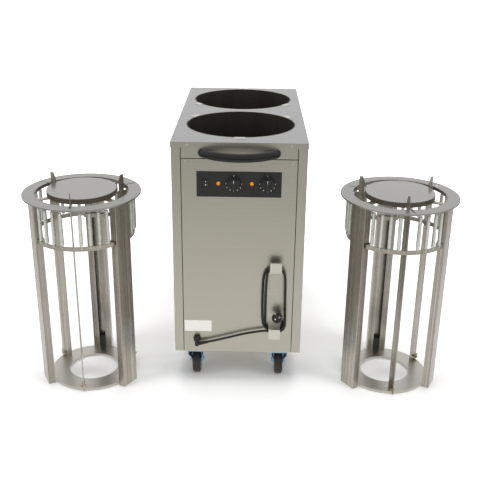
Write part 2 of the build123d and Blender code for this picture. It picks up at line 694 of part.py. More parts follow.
def panel_screws():
    """Pan-head screws on both ends, and the nuts behind the handle."""
    parts = []
    for x, face, z, side in screw_places():
        head = rod_y(SCREW_HEAD, x, sorted((face, face + side * SCREW_HEAD_HEIGHT)), z)
        outer = head.edges().group_by(Axis.Y)[0 if side < 0 else -1]
        head = fillet(outer, SCREW_HEAD_HEIGHT / 2)
        parts.append(head + rod_y(SCREW_SHANK, x, sorted((face, face - side * SCREW_LENGTH)), z))
    y = (FRONT + SHEET, FRONT + SHEET + HANDLE_STUD)
    for side in (-1, 1):
        nut = Plane.XZ * RegularPolygon(HANDLE_NUT, 6) - Plane.XZ * Circle(HANDLE_STUD)
        nut = extrude(nut, y[0] - y[1])
        parts.append(Pos(side * HANDLE_HALF_SPAN, y[0], HANDLE_HEIGHT) * nut)
    return parts


# ------------------------------------------------------------------ push handle
def push_handle():
    """Round bow handle: one wide arc, tangent to an elbow at each end."""
    elbow_x = HANDLE_HALF_SPAN - HANDLE_ELBOW
    square = elbow_x**2 + HANDLE_REACH**2 - HANDLE_ELBOW**2
    bow_radius = square / (2 * (HANDLE_REACH - HANDLE_ELBOW))
    share = bow_radius / (bow_radius - HANDLE_ELBOW)
    join_x = elbow_x * share
    join_y = out((HANDLE_REACH - bow_radius) * (1 - share))
    start = Vector(-HANDLE_HALF_SPAN, FRONT, HANDLE_HEIGHT)
    join = Vector(-join_x, join_y, HANDLE_HEIGHT)
    middle = Vector(0, out(HANDLE_REACH), HANDLE_HEIGHT)
    elbow = TangentArc(start, join, tangent=(0, -1, 0))
    bow = ThreePointArc(join, middle, Vector(join_x, join_y, HANDLE_HEIGHT))
    path = Wire([elbow.edge(), bow.edge(), mirror(elbow, Plane.YZ).edge()])
    section = Plane(start, z_dir=(0, -1, 0)) * Circle(HANDLE_RADIUS)
    grip = sweep(section, path)
    for side in (-1, 1):
        y = (FRONT, FRONT + SHEET + 2 * HANDLE_STUD)
        grip += rod_y(HANDLE_STUD, side * HANDLE_HALF_SPAN, y, HANDLE_HEIGHT)
    return grip


# ------------------------------------------------------------------ cord and hooks
def cord_hook(height, side):
    """Strip bent three times: back, arm and tab. Side is 1 for a tab turned up."""
    x = (HOOK_X - HOOK_WIDTH / 2, HOOK_X + HOOK_WIDTH / 2)
    arm = sorted((height, height + side * HOOK_THICKNESS))
    hook = block(x, (out(HOOK_REACH), FRONT), arm)
    back = sorted((height, height + side * HOOK_BACK))
    hook += block(x, (out(HOOK_THICKNESS), FRONT), back)
    tab = sorted((height, height + side * HOOK_TAB))
    hook += block(x, (out(HOOK_REACH), out(HOOK_REACH - HOOK_THICKNESS)), tab)
    bends = hook.edges().filter_by(Axis.X).group_by(Axis.Y)[0].sort_by(Axis.Z)
    return fillet(bends[0 if side > 0 else -1], HOOK_THICKNESS)


def cable_gland():
    """Domed cord grip with a spout, and a tapered boot that leaves it sideways."""
    dome_reach = CORD_OUT + GLAND_RADIUS / 2
    dome = rod_y(GLAND_RADIUS, GLAND_X, (out(dome_reach), FRONT), GLAND_HEIGHT)
    dome = fillet(dome.edges().sort_by(Axis.Y)[0], GLAND_RADIUS / 2)
    spout = disc(BOOT_RADIUS + 1, (GLAND_HEIGHT - GLAND_SPOUT, GLAND_HEIGHT), (GLAND_X, out(CORD_OUT)))
    spout = fillet(spout.edges().sort_by(Axis.Z)[0], BOOT_RADIUS / 2)
    start, second = (cord_point(n) for n in (0, 1))
    along = (second - start).normalized()
    profile = Plane(start, z_dir=-along)
    boot = extrude(profile * Circle(BOOT_TIP_RADIUS), BOOT_LENGTH, taper=-taper_of_boot())
    stem = rod_y(CORD_DIAMETER / 2, GLAND_X, (FRONT, FRONT + FOLD_DEPTH), GLAND_HEIGHT)
    return dome + spout + boot + stem


def taper_of_boot():
    return math.degrees(math.atan2(BOOT_RADIUS - BOOT_TIP_RADIUS, BOOT_LENGTH))


def cord_point(n):
    x, distance, z = CORD_ROUTE[n]
    return Vector(x, out(distance), z)


def power_cord():
    """The uncoiled cord, as straight runs joined by arcs tangent to both."""
    points = [cord_point(n) for n in range(len(CORD_ROUTE))]
    runs = [b - a for a, b in zip(points, points[1:])]
    radii = []
    for before, after in zip(runs, runs[1:]):
        half_turn = math.radians(before.get_angle(after)) / 2
        radii.append(0.45 * min(before.length, after.length) / math.tan(half_turn))
    path = FilletPolyline(*points, radius=radii)
    section = Plane(path @ 0, z_dir=path % 0) * Circle(CORD_DIAMETER / 2)
    cord = sweep(section, path)
    expected = math.pi * (CORD_DIAMETER / 2) ** 2 * path.length
    print("cord radii", [round(r) for r in radii], "length", round(path.length))
    print("cord volume over section times length", round(cord.volume / expected, 4))
    return cord


def cord_hank():
    """Outer shape of the wound turns, hung round both hooks."""
    middle = Plane.XZ.offset(-out(CORD_OUT) - HANK_DEPTH / 2)
    height = HANK_TOP - HANK_BOTTOM
    z = (HANK_TOP + HANK_BOTTOM) / 2
    outer = Pos(HANK_X, z) * SlotOverall(height, 2 * HANK_HALF_WIDTH, rotation=90)
    top = UPPER_HOOK_HEIGHT + HOOK_THICKNESS + HANK_CLEARANCE
    bottom = LOWER_HOOK_HEIGHT - HOOK_THICKNESS - HANK_CLEARANCE
    width = 2 * (HANK_HALF_WIDTH - HANK_SIDE)
    inner = Pos(HANK_X, (top + bottom) / 2) * RectangleRounded(width, top - bottom, HANK_CORNER)
    return extrude(middle * (outer - inner), HANK_DEPTH)


def mains_plug():
    """Round two-pin plug with its boot, hung from the end of the hank."""
    x, distance, z = PLUG_FACE
    along = Plane(Vector(x, out(distance), z), z_dir=Vector(*PLUG_AXIS))
    rim = Pos(0, 0, -PLUG_RIM / 2) * Cylinder(PLUG_RADIUS, PLUG_RIM)
    rim = fillet(rim.edges().sort_by(Axis.Z)[-1], 1.5)
    grip_length = PLUG_LENGTH - PLUG_RIM
    grip_middle = -PLUG_RIM - grip_length / 2
    grip = Pos(0, 0, grip_middle) * Cone(PLUG_NECK, PLUG_RADIUS - 2, grip_length)
    boot = Pos(0, 0, -PLUG_LENGTH - PLUG_BOOT / 2) * Cone(CORD_DIAMETER / 2 + 0.6, PLUG_NECK, PLUG_BOOT)
    recess = Pos(0, 0, -1) * (Cylinder(PLUG_RADIUS - 3, 2) - Cylinder(PLUG_RADIUS - 6, 2))
    body = rim + grip + boot - recess
    parts = []
    for side in (-1, 1):
        at = Pos(side * PLUG_PIN_SPACING / 2, 0, PLUG_PIN_LENGTH / 2 - 2)
        pin = Cylinder(PLUG_PIN_RADIUS, PLUG_PIN_LENGTH + 4)
        pin = fillet(pin.edges().sort_by(Axis.Z)[-1], PLUG_PIN_RADIUS * 0.8)
        body -= at * Cylinder(PLUG_PIN_RADIUS, PLUG_PIN_LENGTH + 4)
        parts.append(at * pin)
    return [along * piece for piece in (body, *parts)]


# ------------------------------------------------------------------ casters
def caster_plate():
    """Top plate with its raised swivel seat, kingpin, nut and four bolt heads."""
    width, depth, thickness = CASTER_PLATE
    z = (BODY_CLEARANCE - thickness, BODY_CLEARANCE)
    plate = block((-width / 2, width / 2), (-depth / 2, depth / 2), z)
    plate = fillet(plate.edges().filter_by(Axis.Z), 8)
    plate += disc(SWIVEL_RADIUS, (FORK_TOP + SWIVEL_GAP, z[0]))
    nut_top = FORK_TOP - FORK_CROWN - SWIVEL_GAP    # nut under the fork's crown
    plate += disc(KINGPIN_RADIUS, (nut_top - KINGPIN_NUT_HEIGHT, FORK_TOP + 1))
    plate += disc(KINGPIN_NUT, (nut_top - KINGPIN_NUT_HEIGHT, nut_top))
    for x in (-1, 1):
        for y in (-1, 1):
            at = (x * CASTER_BOLTS[0] / 2, y * CASTER_BOLTS[1] / 2)
            plate += disc(CASTER_BOLT_HEAD, (z[0] - CASTER_BOLT_HEIGHT, z[0]), at)
    return plate


def fork():
    """Pressed fork: crown, sloping shoulders and two legs to the axle."""
    outer = [
        (-FORK_SHOULDER, FORK_TOP),
        (-FORK_SHOULDER, FORK_TOP - FORK_BROW),
        (-FORK_HALF_WIDTH, WHEEL_RADIUS + FORK_KNEE),
        (-FORK_HALF_WIDTH, WHEEL_RADIUS - FORK_FOOT),
    ]
    inner = [
        (-FORK_HALF_WIDTH + FORK_WALL, WHEEL_RADIUS - FORK_FOOT),
        (-FORK_HALF_WIDTH + FORK_WALL, WHEEL_RADIUS + FORK_KNEE - FORK_WALL / 3),
        (-FORK_SHOULDER + FORK_CROWN, FORK_TOP - FORK_BROW - FORK_WALL / 2),
        (-FORK_SHOULDER + FORK_CROWN, FORK_TOP - FORK_CROWN),
    ]
    left = outer + inner
    outline = left + [(-x, z) for x, z in reversed(left)]
    reach = TRAIL + WHEEL_RADIUS
    shape = extrude(Plane.XZ * make_face(Polyline(*outline, close=True)), reach, both=True)
    crown = SWIVEL_RADIUS
    eye = FORK_EYE
    silhouette = [
        (-crown, FORK_TOP),
        (-crown, FORK_TOP - FORK_BROW - 4),
        (TRAIL - eye + 3, WHEEL_RADIUS - eye + 4),
        (TRAIL + eye - 1, WHEEL_RADIUS - eye + 8),
        (TRAIL + eye - 7, FORK_TOP - FORK_BROW - 10),
        (crown + 4, FORK_TOP),
    ]
    side = side_plate(silhouette, (-FORK_SHOULDER, FORK_SHOULDER))
    side += rod_x(eye, (-FORK_SHOULDER, FORK_SHOULDER), TRAIL, WHEEL_RADIUS)
    shape &= side
    shape -= disc(KINGPIN_RADIUS + RUNNING_CLEARANCE, (WHEEL_RADIUS, FORK_TOP + 1))
    return shape - axle_rod(AXLE_RADIUS) - pedal_rod(PEDAL_PIN)


def axle_rod(radius):
    return rod_x(radius, (-FORK_SHOULDER, FORK_SHOULDER), TRAIL, WHEEL_RADIUS)


def pedal_rod(radius):
    return rod_x(radius, (-FORK_SHOULDER, FORK_SHOULDER), *PEDAL_HINGE)


def axle():
    """Axle bolt with a hexagon head and nut."""
    bolt = rod_x(AXLE_RADIUS, (-FORK_HALF_WIDTH, FORK_HALF_WIDTH), TRAIL, WHEEL_RADIUS)
    for side in (-1, 1):
        head = extrude(Plane.YZ * RegularPolygon(AXLE_HEAD, 6), side * AXLE_HEAD_HEIGHT)
        bolt += Pos(side * FORK_HALF_WIDTH, TRAIL, WHEEL_RADIUS) * head
    return bolt


def wheel():
    """Rubber tyre and its hub, on the X axis at the trail."""
    half = WHEEL_WIDTH / 2
    tyre = rod_x(WHEEL_RADIUS, (-half, half), 0, 0)
    tyre = fillet(tyre.edges().filter_by(GeomType.CIRCLE), TYRE_ROUND)
    tyre -= rod_x(TYRE_INNER, (-half, half), 0, 0)
    half = HUB_WIDTH / 2
    hub = rod_x(TYRE_INNER, (-half, half), 0, 0)
    for side in (-1, 1):
        x = sorted((side * (half - 7), side * (half + 1)))
        hub -= rod_x(TYRE_INNER - 4, x, 0, 0)
    boss = FORK_HALF_WIDTH - FORK_WALL - HUB_BOSS_GAP
    hub += rod_x(HUB_BOSS, (-boss, boss), 0, 0)
    hub -= rod_x(AXLE_RADIUS + RUNNING_CLEARANCE, (-boss, boss), 0, 0)
    return [Pos(0, TRAIL, WHEEL_RADIUS) * piece for piece in (tyre, hub)]


def brake_pedal():
    """Tread plate on a hinge pin behind the crown, with a turned-up lip."""
    y, z = PEDAL_HINGE
    half = PEDAL_HALF_WIDTH
    tip = y + PEDAL_LENGTH
    plate = block((-half, half), (y, tip), (z, z + PEDAL_THICKNESS))
    plate += block((-half, half), (tip - PEDAL_THICKNESS, tip), (z, z + PEDAL_LIP))
    plate = fillet(plate.edges().filter_by(Axis.Z).group_by(Axis.Y)[-1], PEDAL_THICKNESS * 0.9)
    plate += rod_x(PEDAL_HUB, (-half, half), y, z)
    return plate - rod_x(PEDAL_PIN + RUNNING_CLEARANCE, (-half, half), y, z)


def save_casters():
    """Front casters trail back and have brakes; rear casters trail forwards."""
    plates = []
    for end, side in (("front", -1), ("rear", 1)):
        for hand, x in (("left", -CASTER_X), ("right", CASTER_X)):
            place = Pos(x, side * CASTER_Y, 0) * Rot(0, 0, 0 if side < 0 else 180)
            plates.append(place * caster_plate())
            metal = [fork(), axle()]
            if end == "front":
                metal.append(pedal_rod(PEDAL_PIN))
                save(f"{end}_{hand}_brake_pedal", place * brake_pedal())
            save(f"{end}_{hand}_fork", *[place * piece for piece in metal])
            save(f"{end}_{hand}_wheel", *[place * piece for piece in wheel()])
    save("caster_plates", *plates)


# ------------------------------------------------------------------ dispenser frame
def arc_band(inner, outer, z, start, end):
    """Part of an upright ring, between two angles."""
    section = Plane.XZ * block_face((inner, outer), z)
    return turned(revolve(section, Axis.Z, end - start), start)


def block_face(x, z):
    """A rectangle between the two ends of each of its two spans."""
    return Pos(sum(x) / 2, sum(z) / 2) * Rectangle(x[1] - x[0], z[1] - z[0])


def sector_start():
    """Angle from a channel's middle to the end of the carrier ring beside it."""
    clear = CHANNEL_WIDTH / 2 + SPREADER_GAP
    return math.degrees(math.asin(clear / ANCHOR_RADIUS))


def top_flange():
    """Flange ring with a hem, an inner lip and welded strips for the springs."""
    flange = ring(FLANGE_OPENING, FLANGE_RADIUS, (FLANGE_UNDER, FLANGE_TOP))
    flange = fillet(flange.edges().group_by(Axis.Z)[-1].sort_by(SortBy.LENGTH)[-1], FLANGE_SHEET / 2)
    hem = (FLANGE_TOP - FLANGE_HEM, FLANGE_UNDER)
    flange += ring(FLANGE_RADIUS - SHEET, FLANGE_RADIUS, hem)
    lip = ring(FLANGE_OPENING, FLANGE_OPENING + SHEET, (FLANGE_UNDER - FLANGE_LIP, FLANGE_UNDER))
    half = CHANNEL_WIDTH / 2 + 0.5
    room = block((0, FLANGE_RADIUS), (-half, half), (0, FLANGE_UNDER))
    for notch in sectors(room, 0):
        lip -= notch
    flange += lip
    start = sector_start()
    z = (FLANGE_UNDER - ANCHOR_HEIGHT, FLANGE_UNDER)
    strip = arc_band(ANCHOR_RADIUS, ANCHOR_RADIUS + ANCHOR_WALL, z, start, SECTOR - start)
    for band in sectors(strip, 0):
        flange += band
    width = GUIDE_SLOT_WIDTH / 2
    inner = FLANGE_OPENING + SHEET + 1
    slot_x = (inner, inner + GUIDE_SLOT_LENGTH)
    slot = block(slot_x, (-width, width), (FLANGE_UNDER - 1, FLANGE_TOP + 1))
    for cut in sectors(twisted(slot), GUIDE_ANGLE):
        flange -= cut
    return [flange]


def base_ring():
    """Plate ring on a turned-down lip, with channel tongues and guide ears."""
    base = ring(BASE_HOLE, BASE_RADIUS, (BASE_HEIGHT - SHEET, BASE_HEIGHT))
    base += ring(BASE_RADIUS - SHEET, BASE_RADIUS, (0, BASE_HEIGHT - SHEET))
    half = CHANNEL_WIDTH / 2 - SHEET - FIT_CLEARANCE
    tongue_end = CHANNEL_OUTER - SHEET - FIT_CLEARANCE
    tongue_z = (BASE_HEIGHT - SHEET, BASE_HEIGHT)
    tongue = block((BASE_HOLE + BASE_HEIGHT, tongue_end), (-half, half), tongue_z)
    for piece in sectors(tongue, 0):
        base += piece
    side = GUIDE_THICKNESS / 2
    r, z = GUIDE_BOLT
    ear_x = (r - EAR_WIDTH / 2, r + EAR_WIDTH / 2)
    ear_z = (BASE_HEIGHT, BASE_HEIGHT + EAR_HEIGHT)
    ear = block(ear_x, (side, side + EAR_THICKNESS), ear_z)
    ear -= rod_y(GUIDE_BOLT_RADIUS, r, (0, 10), z)
    for piece in sectors(twisted(ear), GUIDE_ANGLE):
        base += piece
    return [base]


def channels():
    """Lipped channels from the floor to the flange, open towards the stack."""
    half = CHANNEL_WIDTH / 2
    z = (0, FLANGE_UNDER)
    profile = block((CHANNEL_INNER, CHANNEL_OUTER), (-half, half), z)
    profile = fillet(profile.edges().filter_by(Axis.Z).group_by(Axis.X)[-1], SHEET)
    hollow = block((CHANNEL_INNER + SHEET, CHANNEL_OUTER - SHEET), (-half + SHEET, half - SHEET), z)
    slot = block((0, CHANNEL_INNER + SHEET), (-CHANNEL_SLOT / 2, CHANNEL_SLOT / 2), z)
    foot = block((0, CHANNEL_INNER + SHEET), (-half + SHEET, half - SHEET), (0, BASE_HEIGHT))
    return sectors(profile - hollow - slot - foot, 0)


def guide_bars():
    """Upright plates that steady the stack, narrowed where they pass the flange."""
    seat = BASE_HEIGHT + SPRING_CLEARANCE
    toe = GUIDE_OUTER - GUIDE_TOE
    lug = FLANGE_OPENING - GUIDE_CLEARANCE
    neck_in = GUIDE_INNER + GUIDE_NECK_INSET
    neck_out = neck_in + GUIDE_NECK_WIDTH
    shoulder = FLANGE_UNDER - GUIDE_SHOULDER
    lug_bottom = FLANGE_UNDER - FLANGE_LIP + 1
    tip = FLANGE_TOP + GUIDE_RISE
    outline = [
        (toe, GUIDE_TOE_LIFT),
        (GUIDE_OUTER, GUIDE_TOE_LIFT),
        (GUIDE_OUTER, shoulder),
        (neck_out, shoulder + 6),
        (neck_out, lug_bottom),
        (lug, lug_bottom),
        (lug, FLANGE_UNDER - 1),
        (neck_out, FLANGE_UNDER - 1),
        (neck_out, tip),
        (neck_out - 12, tip),
        (neck_in, tip - GUIDE_RISE / 2),
        (neck_in, shoulder + 6),
        (GUIDE_INNER, shoulder),
        (GUIDE_INNER, seat),
        (toe, seat),
    ]
    plate = extrude(Plane.XZ * make_face(Polyline(*outline, close=True)), GUIDE_THICKNESS / 2, both=True)
    r, z = GUIDE_BOLT
    plate -= rod_y(GUIDE_BOLT_RADIUS, r, (-10, 10), z)
    return sectors(twisted(plate), GUIDE_ANGLE)


def wing_nuts():
    """A bolt through each guide's foot and ear, with its wing nut."""
    r, z = GUIDE_BOLT
    side = -GUIDE_THICKNESS / 2
    ear_face = -side + EAR_THICKNESS
    bolt = rod_y(GUIDE_BOLT_RADIUS, r, (side - WING_HUB_LENGTH - 3, ear_face), z)
    bolt += rod_y(WING_HUB, r, (ear_face, ear_face + 4), z)
    bolt += rod_y(WING_HUB, r, (side - WING_HUB_LENGTH, side), z)
    for way in (-1, 1):
        wing = [
            (r + way * 3, z - 3),
            (r + way * WING_SPAN / 2, z + WING_HEIGHT - 5),
            (r + way * WING_SPAN / 2, z + WING_HEIGHT),
            (r + way * WING_SPAN / 4, z + WING_HEIGHT - 2),
            (r + way * 3, z + 4),
        ]
        face = Plane.XZ.offset(-side + 2) * make_face(Polyline(*wing, close=True))
        bolt += extrude(face, 2.5)
    return sectors(twisted(bolt), GUIDE_ANGLE)


def bump_stops():
    """Rubber blocks at the foot of each channel, where the carrier stops."""
    x = (CHANNEL_INNER + SHEET + 0.5, CHANNEL_OUTER - SHEET)
    half = BUMP_STOP_WIDTH / 2
    return sectors(block(x, (-half, half), (BASE_HEIGHT, BUMP_STOP_TOP)), 0)


def springs():
    """Close-wound springs from the flange strips to the carrier ring, as tubes."""
    top = FLANGE_UNDER - ANCHOR_HEIGHT - SPRING_CLEARANCE
    bottom = CARRIER_BOTTOM + CARRIER_RING_HEIGHT + SPRING_CLEARANCE
    middle = ANCHOR_RADIUS + ANCHOR_WALL / 2
    tube = ring(SPRING_RADIUS - SPRING_WALL, SPRING_RADIUS, (bottom, top), (middle, 0))
    tubes = []
    for side in (-1, 1):
        for angle in SPRING_ANGLES:
            tubes += sectors(tube, GUIDE_ANGLE + side * angle)
    return tubes


# ------------------------------------------------------------------ carrier
def carrier_disc():
    """Flat-topped dish that the plates stand on."""
    dish = disc(DISC_RADIUS, (ARM_TOP, DISC_TOP))
    dish = fillet(dish.edges().sort_by(Axis.Z)[-1], DISC_EDGE_ROUND)
    return [dish - disc(DISC_RADIUS - SHEET, (ARM_TOP, DISC_TOP - SHEET))]


def carrier_frame():
    """Three arms under the disc, a leg in each channel, and the spring ring."""
    arm_bottom = ARM_TOP - ARM_THICKNESS
    frame = disc(ARM_HUB, (arm_bottom, ARM_TOP))
    half = ARM_WIDTH / 2
    ring_z = (CARRIER_BOTTOM, CARRIER_BOTTOM + CARRIER_RING_HEIGHT)
    leg_outer = LEG_INNER + ARM_THICKNESS
    limb = block((0, leg_outer), (-half, half), (arm_bottom, ARM_TOP))
    limb += block((LEG_INNER, leg_outer), (-half, half), (ring_z[0], ARM_TOP))
    limb += block((SPREADER_INNER, leg_outer), (-half, half), ring_z)
    side = CHANNEL_WIDTH / 2 + SPREADER_GAP
    end = side + SPREADER_WALL
    limb += block((SPREADER_INNER, SPREADER_INNER + SPREADER_WALL), (-end, end), ring_z)
    for y in ((side, end), (-end, -side)):
        limb += block((SPREADER_INNER, ANCHOR_RADIUS), y, ring_z)
    start = sector_start()
    outer = ANCHOR_RADIUS + ANCHOR_WALL
    band = arc_band(ANCHOR_RADIUS - SHEET, outer, ring_z, start, SECTOR - start)
    for piece in sectors(limb, 0) + sectors(band, 0):
        frame += piece
    return [frame]


def guide_shoes():
    """Two nylon shoes on each leg, which slide inside the channel."""
    x = (CHANNEL_INNER + SHEET + SHOE_CLEARANCE, CHANNEL_OUTER - SHEET - SHOE_CLEARANCE)
    half = CHANNEL_WIDTH / 2 - SHEET - SHOE_CLEARANCE
    shoes = []
    for lift in (LOWER_SHOE, UPPER_SHOE):
        z = (CARRIER_BOTTOM + lift, CARRIER_BOTTOM + lift + SHOE_HEIGHT)
        shoe = block(x, (-half, half), z)
        shoe -= block((0, LEG_INNER + ARM_THICKNESS), (-ARM_WIDTH / 2, ARM_WIDTH / 2), z)
        shoes += sectors(shoe, 0)
    return shoes


def save_dispenser(hand):
    """All the nodes of one dispenser, which stands on the floor."""
    turn = CHANNEL_ANGLE + DISPENSER_TURN[hand]
    place = Pos(DISPENSER_X[hand], DISPENSER_Y[hand], 0) * Rot(0, 0, turn)
    nodes = {
        "top_flange": top_flange,
        "base_ring": base_ring,
        "channels": channels,
        "guide_bars": guide_bars,
        "wing_nuts": wing_nuts,
        "bump_stops": bump_stops,
        "springs": springs,
        "carrier_disc": carrier_disc,
        "carrier_frame": carrier_frame,
        "guide_shoes": guide_shoes,
    }
    for name, make in nodes.items():
        save(f"{hand}_{name}", *[place * piece for piece in make()])


# ------------------------------------------------------------------ all the nodes
def save_cabinet():
    save("top_deck", top_deck())
    save("left_side_panel", side_panel(-1))
    save("right_side_panel", side_panel(1))
    save("rear_panel", end_panel((BODY_CLEARANCE, BODY_TOP), 1))
    save("front_panel", front_panel())
    save("front_upper_panel", front_upper_panel())
    save("base_tray", base_tray())
    save("front_well_liner", liner(FRONT_WELL_Y))
    save("rear_well_liner", liner(REAR_WELL_Y))
    save("well_clips", *well_clips())
    save("heater_pans", *heater_pans())
    save("heating_elements", *heating_elements())
    save("push_handle", push_handle())
    save("panel_screws", *panel_screws())
    save("rating_plate", rating_plate())


def save_controls():
    save("control_fascia", control_fascia())
    save("rocker_switch_body", rocker_switch_body())
    save("switch_rocker", rocker())
    save("pilot_lamps", *pilot_lamps())
    save("thermostats", *thermostats())
    for hand, x in zip(("left", "right"), KNOB_X):
        save(f"{hand}_knob", *knob(x))


def save_cord():
    save("upper_cord_hook", cord_hook(UPPER_HOOK_HEIGHT, 1))
    save("lower_cord_hook", cord_hook(LOWER_HOOK_HEIGHT, -1))
    save("cable_gland", cable_gland())
    save("power_cord", power_cord())
    save("cord_hank", cord_hank())
    save("mains_plug", *mains_plug())


os.makedirs("parts", exist_ok=True)
save_cabinet()
save_controls()
save_cord()
save_casters()
for side_name in DISPENSER_X:
    save_dispenser(side_name)
print("moved by", SHIFT_X, SHIFT_Y)
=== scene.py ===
"""Plate warmer cabinet: finishes, fittings, cord, springs and studio, around the fixed parts."""

import math
from functools import cache

import bmesh
import bpy
from bpy.props import FloatProperty, FloatVectorProperty, IntProperty, PointerProperty
from mathutils import Matrix, Vector


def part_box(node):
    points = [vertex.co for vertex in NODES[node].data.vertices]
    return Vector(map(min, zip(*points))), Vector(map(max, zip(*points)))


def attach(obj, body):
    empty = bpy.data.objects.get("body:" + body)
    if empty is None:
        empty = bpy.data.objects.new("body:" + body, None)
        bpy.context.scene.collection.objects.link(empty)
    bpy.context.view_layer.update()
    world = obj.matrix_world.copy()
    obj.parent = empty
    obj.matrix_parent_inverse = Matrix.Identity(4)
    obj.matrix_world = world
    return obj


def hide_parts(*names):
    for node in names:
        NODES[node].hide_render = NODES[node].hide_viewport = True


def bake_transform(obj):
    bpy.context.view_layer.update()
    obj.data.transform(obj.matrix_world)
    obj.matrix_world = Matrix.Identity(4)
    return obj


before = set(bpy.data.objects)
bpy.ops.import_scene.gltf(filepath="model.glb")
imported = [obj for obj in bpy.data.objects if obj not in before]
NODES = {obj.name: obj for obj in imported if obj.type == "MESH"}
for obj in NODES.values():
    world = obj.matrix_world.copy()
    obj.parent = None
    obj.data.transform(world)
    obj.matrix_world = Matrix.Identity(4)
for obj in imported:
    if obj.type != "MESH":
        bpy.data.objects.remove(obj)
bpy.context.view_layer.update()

bl_info = {
    "name": "Plate Warmer Cabinet",
    "version": (1, 0, 0),
    "blender": (4, 5, 0),
    "location": "View3D > Sidebar > Plate Warmer",
    "description": "Finishes and fittings for a two-well plate warmer cabinet",
    "category": "Object",
}

MM = 0.001
ORIGIN = (5.0, -58.25)  # the scene's middle in cabinet millimetres
FRONT = -440.0  # front of the body, cabinet millimetres
FASCIA_FACE = -441.5
DECK_FACE = 0.8862  # just under the deck's upper face, metres
DISC_FACE = 0.7008  # just under a carrier disc's upper face, metres
WHEEL_RADIUS = 50.0
TYRE_INNER = 0.0372  # metres, as the wheel's finish measures it
WHEEL_PLACES = {  # swivel x, axle y
    "front_left": (-148.0, -360.0),
    "front_right": (148.0, -360.0),
    "rear_left": (-148.0, 360.0),
    "rear_right": (148.0, 360.0),
}
STACKS = {"left": (-531.0, -362.0, -2.0), "right": (541.0, -345.0, 3.0)}  # x, y, degrees
KNOBS = {  # body, x
    "left_knob": ("front_well_knob", -17.0),
    "right_knob": ("rear_well_knob", 92.2),
}
CONTROL_LINE = 751.0
PLUG_FACE = (134.0, 41.0, 286.0)  # x, distance out, height
PLUG_AXIS = Vector((-0.36, -0.70, 0.62)).normalized()
PLUG_PINS = Vector((0.0, -0.62, -0.70)).normalized()


# --- places
def place(x, y, z):
    """Cabinet millimetres to the scene's metres."""
    return Vector(((x - ORIGIN[0]) * MM, (y - ORIGIN[1]) * MM, z * MM))


def out_place(x, distance, z):
    """A point so many millimetres in front of the body's face."""
    return place(x, FRONT - distance, z)


def facing(normal, up=Vector((0, 0, 1))):
    """A turn that points local Z along the normal and local Y roughly up."""
    z = normal.normalized()
    x = up.cross(z)
    if x.length < 1e-6:
        x = Vector((1, 0, 0))
    x.normalize()
    return Matrix((x, z.cross(x), z)).transposed()


FORWARD = Vector((0, -1, 0))
AHEAD = facing(FORWARD)  # the turn of what lies on the front


def clock(angle):
    """A direction on the front, clockwise from the top."""
    return Vector((math.sin(angle), 0, math.cos(angle)))


def around_stack(side, radius, angle, z):
    """A point of a dispenser: radius and angle about its middle, height."""
    x, y, turn = STACKS[side]
    angle = math.radians(angle + turn)
    return place(x + radius * math.cos(angle), y + radius * math.sin(angle), z)


# --- shader sums
def tint(red, green, blue):
    """Linear colour of a 0-255 display colour."""
    linear = []
    for value in (red, green, blue):
        value /= 255
        linear.append(value / 12.92 if value <= 0.04045 else ((value + 0.055) / 1.055) ** 2.4)
    return (*linear, 1.0)


class Wire:
    """A node's output that takes part in Python sums."""

    def __init__(self, owner, socket):
        self.owner = owner
        self.socket = socket

    def sum(self, operation, *values):
        return self.owner.node("ShaderNodeMath", {"operation": operation}, dict(enumerate(values)))

    def __add__(self, other):
        return self.sum("ADD", self, other)

    def __sub__(self, other):
        return self.sum("SUBTRACT", self, other)

    def __rsub__(self, other):
        return self.sum("SUBTRACT", other, self)

    def __mul__(self, other):
        return self.sum("MULTIPLY", self, other)

    def __gt__(self, other):
        return self.sum("GREATER_THAN", self, other)

    def __lt__(self, other):
        return self.sum("LESS_THAN", self, other)

    def root(self):
        return self.sum("SQRT", self)

    __radd__ = __add__
    __rmul__ = __mul__


class Tree:
    """A node tree being put together."""

    prefix = "ShaderNode"

    def node(self, kind, settings=None, sockets=None, output=0):
        """Any node: its type, its settings, then the values or links of its sockets."""
        made = self.tree.nodes.new(kind if "Node" in kind else self.prefix + kind)
        for name, value in (settings or {}).items():
            setattr(made, name, value)
        for name, value in (sockets or {}).items():
            for each in value if isinstance(value, list) else [value]:
                if isinstance(each, Wire):
                    self.tree.links.new(each.socket, made.inputs[name])
                else:
                    made.inputs[name].default_value = each
        return None if output is None else Wire(self, made.outputs[output])


